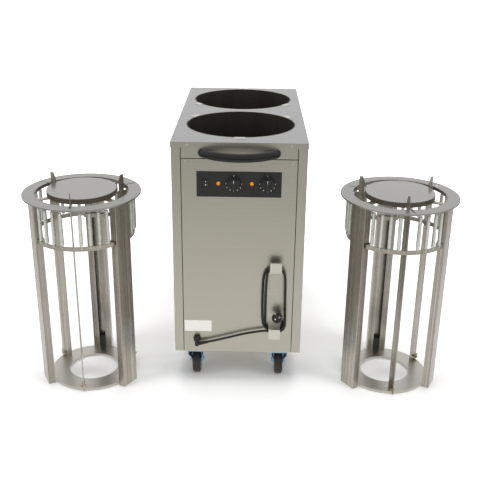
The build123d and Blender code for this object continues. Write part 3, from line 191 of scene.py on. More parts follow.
class Finish(Tree):
    """A material, or the world's shader, being put together."""

    def __init__(self, name, owner=None):
        self.material = owner or bpy.data.materials.new(name)
        self.material.use_nodes = True
        self.tree = self.material.node_tree
        self.tree.nodes.clear()
        self.seat = None

    def where(self):
        """Object coordinates, made once."""
        if self.seat is None:
            self.seat = self.node("TexCoord", output="Object")
        return self.seat

    def axes(self):
        """The three Object coordinates as separate numbers."""
        split = self.node("SeparateXYZ", sockets={0: self.where()})
        return [Wire(self, socket) for socket in split.socket.node.outputs]

    def noise(self, scale, stretch=(1, 1, 1), detail=2.0, rough=0.5):
        """Noise over Object coordinates, stretched along the axes."""
        at = self.node("Mapping", sockets={"Vector": self.where(), "Scale": stretch})
        return self.node("TexNoise", sockets={
            "Vector": at, "Scale": scale, "Detail": detail, "Roughness": rough})

    def spread(self, value, low, high, start=0.0, stop=1.0):
        """A value from one range of numbers, 0 to 1 if none is named, carried to another."""
        return self.node("MapRange", sockets={"Value": value, 1: start, 2: stop, 3: low, 4: high})

    def mix(self, factor, first, second):
        """Two colours by a factor."""
        return self.node("Mix", {"data_type": "RGBA"}, {0: factor, 6: first, 7: second}, 2)

    def bump(self, height, distance):
        return self.node("Bump", sockets={
            "Height": height, "Distance": distance, "Strength": 1.0})

    def surface(self, **sockets):
        """The glossy surface that ends the material."""
        named = {name.replace("_", " ").title().replace("Ior", "IOR"): value
                 for name, value in sockets.items()}
        self.end(self.node("BsdfPrincipled", sockets=named))
        return self.material

    def end(self, shader, kind="OutputMaterial"):
        """Sends a shader to the tree's output."""
        self.node(kind, sockets={"Surface": shader}, output=None)


# --- finishes
GRAIN = {  # stretch that draws lines along an axis
    "x": (0.005, 1.0, 1.0),
    "y": (1.0, 0.005, 1.0),
    "z": (1.0, 1.0, 0.005),
}


def shade_of(colour):
    """A colour, or the setting that a word names."""
    if isinstance(colour, str):
        return (*getattr(bpy.context.scene.warmer_looks, colour), 1.0)
    return colour


def scaled(colour, factor):
    """A colour made darker or paler."""
    return (*(min(1.0, part * factor) for part in colour[:3]), 1.0)


def brushed_steel(name, colour, grain, roughness, lines, grain_and_reflection_streaks, streak=160.0, clouds=0.2,
                  below=None, metal=1.0):
    """Stainless sheet with brush lines, its colour streaked and clouded partly by grain and partly
    by painted reflection of the room; below a height it may be another colour, and duller.
    """
    steel = Finish(name)
    colour = shade_of(colour)
    fine = steel.noise(900.0, GRAIN[grain], 3.0, 0.6)
    broad = steel.noise(streak, GRAIN[grain], 2.0)
    cloud = steel.noise(7.0, detail=3.0)
    # the tone is brush grain, with streaks and clouds that also stand for painted reflections of
    # the room
    tone = (fine * 0.5 + broad * 0.5) * (1.0 - clouds) + cloud * clouds
    shade = steel.mix(steel.spread(tone, -0.6, 1.6), scaled(colour, 1 - grain_and_reflection_streaks),
                      scaled(colour, 1 + grain_and_reflection_streaks * 0.6))
    rough = steel.spread(cloud * 0.6 + fine * 0.4, *roughness)
    if below:
        height, under, dull = below
        lower = steel.axes()[2] < height
        shade = steel.mix(lower, shade, shade_of(under))
        metal = metal - lower * dull
        rough = rough + lower * (dull * 0.4)
    return steel.surface(
        base_color=shade,
        metallic=metal,
        roughness=rough,
        normal=steel.bump(fine + broad, lines),
    )


def painted(name, colour, roughness, size, depth, metallic=0.0, mottle=0.15, shine=0.5):
    """Coat or moulding with a fine grain, of a size and depth, and slight mottling."""
    coat = Finish(name)
    grain = coat.noise(size)
    cloud = coat.noise(18.0, detail=3.0)
    return coat.surface(
        base_color=coat.mix(cloud * 0.7 + grain * 0.3, scaled(colour, 1 - mottle),
                            scaled(colour, 1 + mottle)),
        metallic=metallic,
        specular_ior_level=shine,
        roughness=coat.spread(grain * 0.5 + cloud * 0.5, *roughness),
        normal=coat.bump(grain, depth),
    )


def plated(name, cloud, fine, dark, pale, metallic, roughness, lines):
    """Bright plate or drawn wire with a cast of colour."""
    plate = Finish(name)
    cloud, fine = plate.noise(*cloud), plate.noise(fine)
    return plate.surface(
        base_color=plate.mix(cloud, dark, pale),
        metallic=metallic,
        roughness=plate.spread(cloud * 0.5 + fine * 0.5, *roughness),
        normal=plate.bump(fine, lines),
    )


def well_enamel():
    """Dark coated liner whose cut upper edge is bare metal."""
    coat = Finish("well_enamel")
    edge = coat.axes()[2] > DECK_FACE
    streak = coat.noise(30.0, (1.0, 1.0, 0.08), 3.0)
    grain = coat.noise(900.0)
    black = coat.mix(streak, tint(18, 17, 15), tint(36, 34, 30))
    return coat.surface(
        base_color=coat.mix(edge, black, tint(150, 132, 108)),
        metallic=edge * 0.9,
        roughness=coat.spread(streak, 0.42, 0.62) - edge * 0.15,
        normal=coat.bump(grain, 0.00003),
    )


def wheel_finish(corner):
    """Brown-black tyre on a pale hub, told apart by the radius about the axle."""
    middle = place(*WHEEL_PLACES[corner], WHEEL_RADIUS)
    wheel = Finish(corner + "_wheel_finish")
    _, y, z = wheel.axes()
    y, z = y - middle.y, z - middle.z
    radius = (y * y + z * z).root()
    tyre = radius > TYRE_INNER
    scuff = wheel.noise(120.0, detail=4.0)
    dust = wheel.noise(25.0, detail=2.0)
    rubber = wheel.mix(scuff * 0.5 + dust * 0.5, tint(24, 22, 20), tint(54, 49, 43))
    hub = wheel.mix(dust, tint(150, 175, 195), tint(205, 220, 230))
    return wheel.surface(
        base_color=wheel.mix(tyre, hub, rubber),
        roughness=wheel.spread(scuff, 0.35, 0.5) + tyre * 0.3,
        metallic=0.0,
        normal=wheel.bump(scuff, 0.00015),
    )


def plug_finish():
    """Moulded black plug; what stands in front of its face is plated metal."""
    face = out_place(*PLUG_FACE)
    plug = Finish("plug_finish")
    x, y, z = plug.axes()
    ahead = ((x - face.x) * PLUG_AXIS.x + (y - face.y) * PLUG_AXIS.y
             + (z - face.z) * PLUG_AXIS.z)
    pin = ahead > 0.0004
    grain = plug.noise(1800.0)
    black = plug.mix(plug.noise(60.0), tint(12, 11, 11), tint(28, 27, 26))
    return plug.surface(
        base_color=plug.mix(pin, black, tint(236, 230, 216)),
        metallic=pin * 1.0,
        roughness=plug.spread(grain, 0.38, 0.52) - pin * 0.2,
        normal=plug.bump(grain, 0.00003),
    )


def lamp_lens():
    """Moulded amber lens, lit a little from behind."""
    lens = Finish("amber_lens")
    fine = lens.noise(700.0)
    amber = lens.mix(lens.noise(90.0), tint(206, 118, 6), tint(236, 150, 14))
    return lens.surface(
        base_color=amber,
        emission_color=amber,
        emission_strength=0.15,
        roughness=lens.spread(fine, 0.3, 0.42),
        specular_ior_level=0.3,
        normal=lens.bump(fine, 0.00004),
    )


STEELS = {  # name, colour, grain, roughness, depth of the lines, contrast of the grain and the painted reflection streaks, the rest
    # deck: one sheet in two colours, a painted difference of light: its upper face a cooler grey
    # for the bright room it reflects, its skirt below DECK_FACE the panel colour
    "deck": ("deck_steel", "deck", "y", (0.26, 0.36), 0.000008, 0.06,
             {"clouds": 0.6, "below": (DECK_FACE, "panel", 0.0)}),
    "panel": ("panel_steel", "panel", "x", (0.3, 0.4), 0.00011, 0.06, {}),
    "side": ("side_steel", "panel", "y", (0.3, 0.4), 0.00011, 0.06, {}),
    # the rack's strong light and dark streaks are painted reflections of the room over its grain
    "rack": ("rack_steel", "rack", "z", (0.2, 0.34), 0.0003, 0.68,
             {"streak": 110.0, "clouds": 0.1, "metal": 0.9}),
    "flange": ("flange_steel", "flange", "x", (0.25, 0.4), 0.00001, 0.08, {"clouds": 0.5}),
    "disc": ("disc_steel", "flange", "x", (0.14, 0.24), 0.000006, 0.06,
             {"clouds": 0.5, "below": (DISC_FACE, tint(84, 78, 70), 0.7)}),
    "frame": ("carrier_steel", tint(168, 164, 152), "z", (0.25, 0.4), 0.00006, 0.3,
              {"metal": 0.9}),
    "bright": ("bright_steel", tint(200, 198, 188), "x", (0.2, 0.35), 0.00002, 0.12, {}),
    "brass": ("wing_brass", tint(172, 156, 132), "x", (0.2, 0.35), 0.00002, 0.16, {}),
    "base": ("base_steel", tint(186, 183, 176), "x", (0.26, 0.4), 0.00002, 0.1, {}),
    "pan": ("heat_darkened_steel", tint(112, 102, 88), "x", (0.35, 0.55), 0.00003, 0.3, {}),
}
PAINTS = {  # name, colour, roughness, size and depth of the grain, the rest
    "heater": ("heater_sheath", tint(62, 52, 46), (0.45, 0.65), 1500.0, 0.00003,
               {"mottle": 0.4, "metallic": 0.4}),
    "fascia": ("fascia_print", tint(36, 35, 36), (0.42, 0.52), 1200.0, 0.00002,
               {"mottle": 0.06, "shine": 0.35}),
    "dial": ("dial_print", tint(31, 30, 30), (0.45, 0.55), 1200.0, 0.00002,
             {"mottle": 0.06, "shine": 0.3}),
    "switch": ("switch_moulding", tint(26, 26, 26), (0.22, 0.34), 1500.0, 0.00001, {}),
    "cream": ("thermostat_moulding", tint(222, 214, 192), (0.5, 0.65), 1500.0, 0.00003, {}),
    "knob": ("knob_moulding", tint(26, 26, 26), (0.26, 0.4), 1600.0, 0.00002, {}),
    "handle": ("handle_moulding", tint(14, 13, 12), (0.1, 0.16), 900.0, 0.000005, {"shine": 0.32}),
    "cord": ("cord_sheath", tint(15, 14, 14), (0.34, 0.48), 1200.0, 0.00004, {"shine": 0.4}),
    "label": ("label_film", tint(242, 240, 232), (0.4, 0.55), 1500.0, 0.00001, {"mottle": 0.03}),
    "mark": ("white_print", tint(240, 240, 234), (0.5, 0.6), 1500.0, 0.00001, {"mottle": 0.04}),
    "stop": ("stop_rubber", tint(66, 63, 60), (0.6, 0.8), 700.0, 0.0001, {}),
    "nylon": ("guide_nylon", tint(216, 212, 200), (0.35, 0.5), 900.0, 0.00002, {}),
    # painted shade: a dark disc laid over each hook hole in the flange strip stands for the shade
    # seen through the hole
    "eyelet": ("hook_hole", tint(48, 44, 38), (0.4, 0.6), 900.0, 0.00002, {}),
}
PLATES = {  # name, clouds, fine grain, two colours, metal, roughness, depth of the grain
    "zinc": ("blue_zinc", (45.0, (1, 1, 1), 3.0), 600.0, tint(66, 108, 136),
             tint(150, 194, 216), 1.0, (0.2, 0.42), 0.00003, {}),
    "wire": ("spring_wire", (60.0, (1, 1, 0.2)), 900.0, tint(204, 208, 196),
             tint(246, 248, 242), 0.85, (0.2, 0.36), 0.00002, {}),
}
OTHERS = {"well": well_enamel, "lamp": lamp_lens, "plug": plug_finish}


@cache
def finish(name):
    """A finish by its name, made once."""
    for make, table in ((brushed_steel, STEELS), (painted, PAINTS), (plated, PLATES)):
        if name in table:
            *given, rest = table[name]
            return make(*given, **rest)
    return OTHERS[name]()


def dress(name, *nodes):
    """Gives fixed parts one finish."""
    for node in nodes:
        mesh = NODES[node].data
        mesh.materials.clear()
        mesh.materials.append(finish(name) if isinstance(name, str) else name)


# --- mesh helpers
def link(name, data, body=None):
    """Puts data in the scene as a piece that rides on a body."""
    piece = bpy.data.objects.new(name, data)
    bpy.context.scene.collection.objects.link(piece)
    if body:
        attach(piece, body)
    return piece


def smooth(mesh, angle=35.0):
    """Smooth shading with sharp edges kept."""
    mesh.polygons.foreach_set("use_smooth", [True] * len(mesh.polygons))
    mesh.set_sharp_from_angle(angle=math.radians(angle))


def mesh_from(bm, name, *materials):
    """Closes a working mesh, with its faces turned outwards."""
    bmesh.ops.remove_doubles(bm, verts=bm.verts, dist=1e-7)
    bmesh.ops.recalc_face_normals(bm, faces=bm.faces)
    mesh = bpy.data.meshes.new(name)
    bm.to_mesh(mesh)
    bm.free()
    for material in materials:
        mesh.materials.append(material)
    smooth(mesh)
    return mesh


def wall(bm, low, high):
    """Joins two rings, or a ring and a point, with faces."""
    for n in range(max(len(low), len(high))):
        m = n + 1
        corners = (low[n % len(low)], low[m % len(low)], high[m % len(high)],
                   high[n % len(high)])
        unique = list(dict.fromkeys(corners))
        if len(unique) > 2:
            bm.faces.new(unique)


def lathe(bm, profile, sides=24, matrix=Matrix.Identity(4)):
    """Turns a profile of (radius, height) about Z into rings; a zero radius closes the end."""
    rings = []
    for radius, height in profile:
        ring = []
        for n in range(sides if radius else 1):
            angle = math.tau * n / sides
            ring.append(bm.verts.new(matrix @ Vector(
                (radius * math.cos(angle), radius * math.sin(angle), height))))
        rings.append(ring)
    for low, high in zip(rings, rings[1:]):
        wall(bm, low, high)
    return rings


def washer(bm, inner, outer, foot, top, sides, matrix, edge=None):
    """A ring between two radii and heights; its upper rim may be eased by (in, down)."""
    rim = [(outer, top)]
    if edge:
        rim = [(outer, top - edge[1]), (outer - edge[0], top)]
    lathe(bm, [(inner, foot), (outer, foot), *rim, (inner, top), (inner, foot)], sides, matrix)


def slab(bm, outline, thickness, matrix):
    """A flat outline in X and Y with a thickness along Z."""
    lower, upper = ([bm.verts.new(matrix @ Vector((x, y, z))) for x, y in outline]
                    for z in (0, thickness))
    bm.faces.new(lower[::-1])
    bm.faces.new(upper)
    wall(bm, lower, upper)


def fitting(name, bm, coat, body):
    """A working mesh made into a finished piece that rides on a body."""
    return link(name, mesh_from(bm, name, finish(coat)), body)


def pill(length, width, steps=5):
    """Outline of a bar with round ends, along Y."""
    half = length / 2 - width / 2
    points = []
    for end, start in ((1, 0.0), (-1, math.pi)):
        for n in range(steps):
            angle = start + math.pi * n / (steps - 1)
            points.append((width / 2 * math.cos(angle), end * half + width / 2 * math.sin(angle)))
    return points


def at(point, turn=Matrix.Identity(3)):
    """A place and a turn as one matrix."""
    return Matrix.Translation(point) @ turn.to_4x4()


def settled(piece):
    """A plain mesh of what a piece comes to."""
    graph = bpy.context.evaluated_depsgraph_get()
    return bpy.data.meshes.new_from_object(piece.evaluated_get(graph), depsgraph=graph)


# --- geometry nodes
class Grower(Tree):
    """A geometry-nodes tree being put together."""

    prefix = "GeometryNode"

    def __init__(self, name, **inputs):
        self.tree = bpy.data.node_groups.new(name, "GeometryNodeTree")
        face = self.tree.interface
        face.new_socket("Places", in_out="INPUT", socket_type="NodeSocketGeometry")
        for label, (kind, value) in inputs.items():
            socket = face.new_socket(label.replace("_", " "), in_out="INPUT",
                                     socket_type="NodeSocket" + kind)
            if value is not None:
                socket.default_value = value
        face.new_socket("Piece", in_out="OUTPUT", socket_type="NodeSocketGeometry")
        sockets = self.tree.nodes.new("NodeGroupInput").outputs
        self.given = {socket.name: Wire(self, socket) for socket in sockets}

    def kept(self, name, kind="FLOAT_VECTOR"):
        """A value kept at each place."""
        return self.node("InputNamedAttribute", {"data_type": kind}, {"Name": name})

    def circle(self, radius, resolution):
        """A round outline."""
        return self.node("CurvePrimitiveCircle", {"mode": "RADIUS"},
                         {"Resolution": resolution, "Radius": radius})

    def put(self, shape, turn, size=(1, 1, 1)):
        """A shape at every place."""
        return self.node("InstanceOnPoints", sockets={
            "Points": self.given["Places"], "Instance": shape, "Rotation": turn, "Scale": size})

    def end(self, geometry):
        """Real geometry with its material, as the tree's result."""
        real = self.node("RealizeInstances", sockets={0: geometry})
        coated = self.node("SetMaterial",
                           sockets={"Geometry": real, "Material": self.given["Finish"]})
        self.node("NodeGroupOutput", sockets={0: coated}, output=None)
        return self.tree


@cache
def repeat_tree():
    """One small shape at every place."""
    grow = Grower("repeat_at_places", Shape=("Object", None), Size=("Vector", (1, 1, 1)),
                  Finish=("Material", None))
    shape = grow.node("ObjectInfo", {"transform_space": "ORIGINAL"},
                      {"Object": grow.given["Shape"]}, "Geometry")
    return grow.end(grow.put(shape, grow.kept("turn"), grow.given["Size"]))


@cache
def spring_tree():
    """A wound spring with a hook at each end, at every place."""
    grow = Grower("hang_springs", Coil_Radius=("Float", 0.0044), Wire_Radius=("Float", 0.0009),
                  Turns=("Float", 50.0), Length=("Float", 0.104), Hook_Radius=("Float", 0.0042),
                  Seed=("Int", 7), Finish=("Material", None))
    given = grow.given
    lines = [grow.node("CurveSpiral", sockets={
        "Resolution": 9, "Rotations": given["Turns"], "Start Radius": given["Coil Radius"],
        "End Radius": given["Coil Radius"], "Height": given["Length"]})]
    hook = grow.node("CurveArc", sockets={
        "Resolution": 9, "Radius": given["Hook Radius"],
        "Start Angle": math.radians(-70), "Sweep Angle": math.radians(285)})
    for height, tilt in ((given["Length"] + given["Hook Radius"], 90),
                         (given["Hook Radius"] * -1.0, -90)):
        lift = grow.node("ShaderNodeCombineXYZ", sockets={"Z": height})
        lines.append(grow.node("Transform", sockets={
            "Geometry": hook, "Translation": lift, "Rotation": (math.radians(tilt), 0, 0)}))
    wire = grow.node("JoinGeometry", sockets={0: lines})
    spring = grow.node("CurveToMesh", sockets={
        "Curve": wire, "Profile Curve": grow.circle(given["Wire Radius"], 5), "Fill Caps": True})
    wobble = grow.node("FunctionNodeRandomValue", {"data_type": "FLOAT_VECTOR"}, {
        0: (-0.012, -0.012, 0.0), 1: (0.012, 0.012, 0.0), "Seed": given["Seed"]})
    turn = grow.node("ShaderNodeVectorMath", {"operation": "ADD"},
                     {0: grow.kept("turn"), 1: wobble})
    return grow.end(grow.put(spring, turn))


@cache
def rings_tree():
    """A round bead across the line at every place, sized by the place."""
    grow = Grower("beads_at_places", Bead=("Float", 0.0009), Sides=("Int", 20),
                  Finish=("Material", None))
    hoop = grow.circle(1.0, grow.given["Sides"])
    put = grow.put(hoop, grow.kept("turn"), grow.kept("size", "FLOAT"))
    real = grow.node("RealizeInstances", sockets={0: put})
    return grow.end(grow.node("CurveToMesh", sockets={
        "Curve": real, "Profile Curve": grow.circle(grow.given["Bead"], 8)}))


def grown(name, tree, places, body, sizes=None, **inputs):
    """Runs a tree on places and keeps its result as a plain mesh that rides on a body."""
    points = bpy.data.meshes.new(name + "_places")
    points.from_pydata([list(point) for point, _ in places], [], [])
    turns = points.attributes.new("turn", "FLOAT_VECTOR", "POINT")
    for value, (_, turn) in zip(turns.data, places):
        value.vector = turn.to_euler()
    if sizes:
        scale = points.attributes.new("size", "FLOAT", "POINT")
        scale.data.foreach_set("value", sizes)
    seed = link(name + "_places", points)
    modifier = seed.modifiers.new("grow", "NODES")
    modifier.node_group = tree()
    for item in modifier.node_group.interface.items_tree:
        key = item.name.replace(" ", "_").lower()
        if item.in_out == "INPUT" and key in inputs:
            modifier[item.identifier] = inputs[key]
    mesh = settled(seed)
    seed.modifiers.remove(modifier)
    bpy.data.objects.remove(seed)
    mesh.name = name
    smooth(mesh, 40.0)
    return link(name, mesh, body)


# --- settings
class WarmerLooks(bpy.types.PropertyGroup):
    """Colours of the steel."""

    deck: FloatVectorProperty(
        name="Deck", description="Deck steel, cooler than the panels",
        subtype="COLOR", default=tint(156, 157, 156)[:3])
    panel: FloatVectorProperty(
        name="Panels", description="Warm grey steel of the body's panels",
        subtype="COLOR", default=tint(178, 175, 163)[:3])
    rack: FloatVectorProperty(
        name="Rack", description="Steel of the dispensers' bars and channels",
        subtype="COLOR", default=tint(176, 170, 160)[:3])
    flange: FloatVectorProperty(
        name="Flange", description="Steel of the dispensers' flat tops",
        subtype="COLOR", default=tint(157, 156, 152)[:3])


class WarmerSizes(bpy.types.PropertyGroup):
    """Sizes of the fittings."""

    screw_radius: FloatProperty(
        name="Screw Radius", description="Radius of a panel screw's head",
        default=0.004, min=0.001, subtype="DISTANCE", unit="LENGTH")
    tick_radius: FloatProperty(
        name="Dial Radius", description="Radius of the ring of dial numbers",
        default=0.0256, min=0.02, subtype="DISTANCE", unit="LENGTH")
    figure_height: FloatProperty(
        name="Figure Height", description="Height of a dial number",
        default=0.0044, min=0.001, subtype="DISTANCE", unit="LENGTH")
    spring_turns: FloatProperty(
        name="Spring Turns", description="Turns of wire in one spring",
        default=52.0, min=5.0)
    spring_radius: FloatProperty(
        name="Spring Radius", description="Radius of a spring's coil",
        default=0.0055, min=0.002, subtype="DISTANCE", unit="LENGTH")
    wire_radius: FloatProperty(
        name="Wire Radius", description="Radius of the spring wire",
        default=0.00108, min=0.0003, subtype="DISTANCE", unit="LENGTH")
    cord_diameter: FloatProperty(
        name="Cord Diameter", description="Outside diameter of the mains cord",
        default=0.008, min=0.004, subtype="DISTANCE", unit="LENGTH")
    hub_ribs: IntProperty(
        name="Hub Ribs", description="Ribs on each side of a wheel's hub",
        default=8, min=3, max=16)


class WarmerStage(bpy.types.PropertyGroup):
    """Lighting of the studio."""

    floor_glow: FloatProperty(
        name="Floor Glow", description="Evenness of the floor as the camera sees it",
        default=0.06, min=0.0, max=1.0)
    ambient: FloatProperty(
        name="Ambient", description="Light from all around", default=0.32, min=0.0)
    key: FloatProperty(
        name="Overhead", description="Power of the overhead soft box",
        default=140.0, min=0.0, subtype="POWER", unit="POWER")
    fill: FloatProperty(
        name="Fill", description="Power of each side soft box",
        default=52.0, min=0.0, subtype="POWER", unit="POWER")


def sizes():
    """The fittings' sizes as they are set."""
    return bpy.context.scene.warmer_sizes


# --- fixed parts
class WARMER_OT_finish_body(bpy.types.Operator):
    """Finish the cabinet's sheet metal, wells and heaters"""

    bl_idname = "warmer.finish_body"
    bl_label = "Finish Body"

    def execute(self, context):
        dress("deck", "top_deck")
        dress("panel", "front_panel", "front_upper_panel", "rear_panel", "base_tray")
        dress("side", "left_side_panel", "right_side_panel")
        dress("well", "front_well_liner", "rear_well_liner")
        dress("pan", "heater_pans")
        dress("heater", "heating_elements")
        dress("bright", "well_clips", "upper_cord_hook", "lower_cord_hook")
        dress("label", "rating_plate")
        dress("handle", "push_handle")
        return {"FINISHED"}


class WARMER_OT_finish_controls(bpy.types.Operator):
    """Finish the control panel, switch, lamps, knobs and thermostats"""

    bl_idname = "warmer.finish_controls"
    bl_label = "Finish Controls"

    def execute(self, context):
        dress("fascia", "control_fascia")
        dress("switch", "rocker_switch_body", "switch_rocker")
        dress("lamp", "pilot_lamps")
        dress("cream", "thermostats")
        dress("knob", "left_knob", "right_knob")
        return {"FINISHED"}


class WARMER_OT_finish_casters(bpy.types.Operator):
    """Finish the caster plates, forks, brake pedals and wheels"""

    bl_idname = "warmer.finish_casters"
    bl_label = "Finish Casters"

    def execute(self, context):
        dress("bright", "caster_plates")
        dress("zinc", "front_left_brake_pedal", "front_right_brake_pedal")
        for corner in WHEEL_PLACES:
            dress("zinc", corner + "_fork")
            dress(wheel_finish(corner), corner + "_wheel")
        return {"FINISHED"}


class WARMER_OT_finish_dispensers(bpy.types.Operator):
    """Finish the two lift-out dispensers"""

    bl_idname = "warmer.finish_dispensers"
    bl_label = "Finish Dispensers"

    def execute(self, context):
        for side in STACKS:
            dress("flange", side + "_top_flange")
            dress("base", side + "_base_ring")
            dress("disc", side + "_carrier_disc")
            dress("rack", side + "_channels", side + "_guide_bars")
            dress("frame", side + "_carrier_frame")
            dress("brass", side + "_wing_nuts")
            dress("wire", side + "_springs")
            dress("stop", side + "_bump_stops")
            dress("nylon", side + "_guide_shoes")
        return {"FINISHED"}


# --- screws
SCREW_SPOTS = (  # x either way, z, out from the face, end: -1 in front
    (167.0, 878.0, 1.7, -1),
    (172.7, 823.0, 0.0, -1),
    (167.0, 878.0, 1.7, 1),
    (172.7, 823.0, 0.0, 1),
    (172.7, 150.0, 0.0, 1),
)
SCREW_TWIST = 17  # degrees from one screw's cross to the next
HANDLE_NUTS = (119.0, 1.5, 853.0)  # x either way, in from the face, z


def screw_head():
    """Pan head of unit radius with a cross recess."""
    bm = bmesh.new()
    rings = lathe(bm, [(0.96, -0.2), (1.0, 0.08), (0.97, 0.28), (0.84, 0.46), (0.66, 0.54)])
    bm.faces.new(rings[0][::-1])
    arm, half = 0.5, 0.12
    cross = [(arm, -half), (arm, half), (half, half), (half, arm), (-half, arm), (-half, half),
             (-arm, half), (-arm, -half), (-half, -half), (-half, -arm), (half, -arm),
             (half, -half)]
    rim = [bm.verts.new((x, y, 0.55)) for x, y in cross]
    foot = [bm.verts.new((x * 0.7, y * 0.7, 0.15)) for x, y in cross]
    loops = []
    for ring in (rings[-1], rim):
        for ends in zip(ring, ring[1:] + ring[:1]):
            loops.append(bm.edges.get(ends) or bm.edges.new(ends))
    bmesh.ops.bridge_loops(bm, edges=loops)
    wall(bm, rim, foot)
    bm.faces.new(foot)
    lathe(bm, [(0.0, -2.0), (0.5, -2.0), (0.5, -0.2)], 12)
    return mesh_from(bm, "screw_head")


class WARMER_OT_fit_screws(bpy.types.Operator):
    """Fit cross-recessed screws to the front and rear panels"""

    bl_idname = "warmer.fit_screws"
    bl_label = "Fit Screws"

    def execute(self, context):
        shape = link("screw_head", screw_head())
        places = []
        for n, (across, z, proud, end) in enumerate(SCREW_SPOTS):
            for hand in (-1, 1):
                spin = Matrix.Rotation(math.radians(SCREW_TWIST * n * hand), 3, "Z")
                spot = place(hand * across, end * (proud - FRONT), z)
                places.append((spot, facing(Vector((0, end, 0))) @ spin))
        radius = sizes().screw_radius
        screws = grown("panel_screw_heads", repeat_tree, places, "cabinet", shape=shape,
                       size=(radius, radius, radius), finish=finish("bright"))
        bm = bmesh.new()
        bm.from_mesh(screws.data)
        across, depth, z = HANDLE_NUTS
        for x in (-across, across):
            spot = place(x, FRONT + depth, z)
            washer(bm, 0.0042, 0.0075, 0.0, 0.004, 6, at(spot, facing(-FORWARD)))
        bm.to_mesh(screws.data)
        bm.free()
        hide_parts("panel_screws")
        bpy.data.objects.remove(shape)
        return {"FINISHED"}


# --- controls
DIAL_RADII = (0.0222, 0.0288)  # metres, as the rest of this section
DIAL_DEPTH = 0.00022
DIAL_FIGURES = 7
DIAL_START, DIAL_STEP = 94, 29  # degrees, clockwise from the top
MARK_RISE = 0.0052  # the rocker's marks, up and down from its middle
MARK_DEPTH = 0.00012
KNOB_RIBS = 28
KNOB_RIM = 0.0187
KNOB_GRIP = 0.0105  # length of a rib
PLAIN_ENDS = 0.93  # no ribs where the cosine is above this


def figure_mesh(text, height):
    """A flat figure of the given height, centred, 0.15 mm thick."""
    curve = bpy.data.curves.new("figure", "FONT")
    curve.body = text
    curve.size = height * 1.35
    curve.align_x = "CENTER"
    curve.align_y = "CENTER"
    curve.extrude = 0.000075
    curve.offset = height * 0.03
    holder = link("figure", curve)
    mesh = settled(holder)
    bpy.data.objects.remove(holder)
    return mesh


class WARMER_OT_print_dials(bpy.types.Operator):
    """Print the dial faces, their numbers and their off marks"""

    bl_idname = "warmer.print_dials"
    bl_label = "Print Dials"

    def execute(self, context):
        faces, marks = bmesh.new(), bmesh.new()
        radius = sizes().tick_radius
        for _, x in KNOBS.values():
            centre = place(x, FASCIA_FACE, CONTROL_LINE)
            washer(faces, *DIAL_RADII, 0.0, DIAL_DEPTH, 64, at(centre, AHEAD), (0.0003, 0.00004))
            spot = centre + Vector((0, -DIAL_DEPTH, radius))
            slab(marks, [(-0.0016, 0.0014), (0.0, -0.0018), (0.0016, 0.0014)], 0.00014,
                 at(spot, AHEAD))
            for n in range(DIAL_FIGURES):
                spot = centre + clock(math.radians(DIAL_START + DIAL_STEP * n)) * radius
                figure = figure_mesh(str(n + 1), sizes().figure_height)
                figure.transform(at(spot + FORWARD * 0.0003, AHEAD))
                marks.from_mesh(figure)
                bpy.data.meshes.remove(figure)
        fitting("dial_faces", faces, "dial", "cabinet")
        fitting("dial_figures", marks, "mark", "cabinet")
        return {"FINISHED"}


def on_rocker(height):
    """A place and turn on the rocker's front, by height from its middle."""
    low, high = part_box("switch_rocker")
    middle = (Vector(low) + Vector(high)) / 2
    start = Vector((middle.x, -1.0, middle.z + height))
    hit, point, normal, _ = NODES["switch_rocker"].ray_cast(start, -FORWARD)
    if not hit:
        raise RuntimeError("the rocker has no face at that height")
    return at(point, facing(normal))


class WARMER_OT_mark_rocker(bpy.types.Operator):
    """Mark the rocker with its on bar and off ring"""

    bl_idname = "warmer.mark_rocker"
    bl_label = "Mark Rocker"

    def execute(self, context):
        bm = bmesh.new()
        slab(bm, pill(0.0042, 0.0009), MARK_DEPTH, on_rocker(MARK_RISE))
        washer(bm, 0.0013, 0.0021, 0.0, MARK_DEPTH, 24, on_rocker(-MARK_RISE))
        fitting("rocker_marks", bm, "mark", "rocker")
        return {"FINISHED"}


class WARMER_OT_dress_knobs(bpy.types.Operator):
    """Add a pointer and grip ribs to each knob"""

    bl_idname = "warmer.dress_knobs"
    bl_label = "Dress Knobs"

    def execute(self, context):
        rib = bmesh.new()
        slab(rib, pill(KNOB_GRIP, 0.0011, 3), 0.0009, Matrix.Rotation(math.pi / 2, 4, "Y"))
        shape = link("knob_rib", mesh_from(rib, "knob_rib"))
        for node, (body, _) in KNOBS.items():
            low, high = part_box(node)
            centre = Vector(((low[0] + high[0]) / 2, high[1], (low[2] + high[2]) / 2))
            bm = bmesh.new()
            tip = Vector((centre.x, low[1], centre.z + 0.0125))
            slab(bm, pill(0.0115, 0.0013), 0.00015, at(tip, AHEAD))
            fitting(node + "_pointer", bm, "mark", body)
            places = []
            for n in range(KNOB_RIBS):
                spoke = clock(math.tau * (n + 0.5) / KNOB_RIBS)
                if abs(spoke.z) > PLAIN_ENDS:
                    continue
                turn = Matrix((spoke, FORWARD, spoke.cross(FORWARD))).transposed()
                places.append((centre + spoke * KNOB_RIM + FORWARD * KNOB_GRIP, turn))
            ribs = grown(node + "_ribs", repeat_tree, places, body, shape=shape,
                         finish=finish("knob"))
        bpy.data.objects.remove(shape)
        return {"FINISHED"}


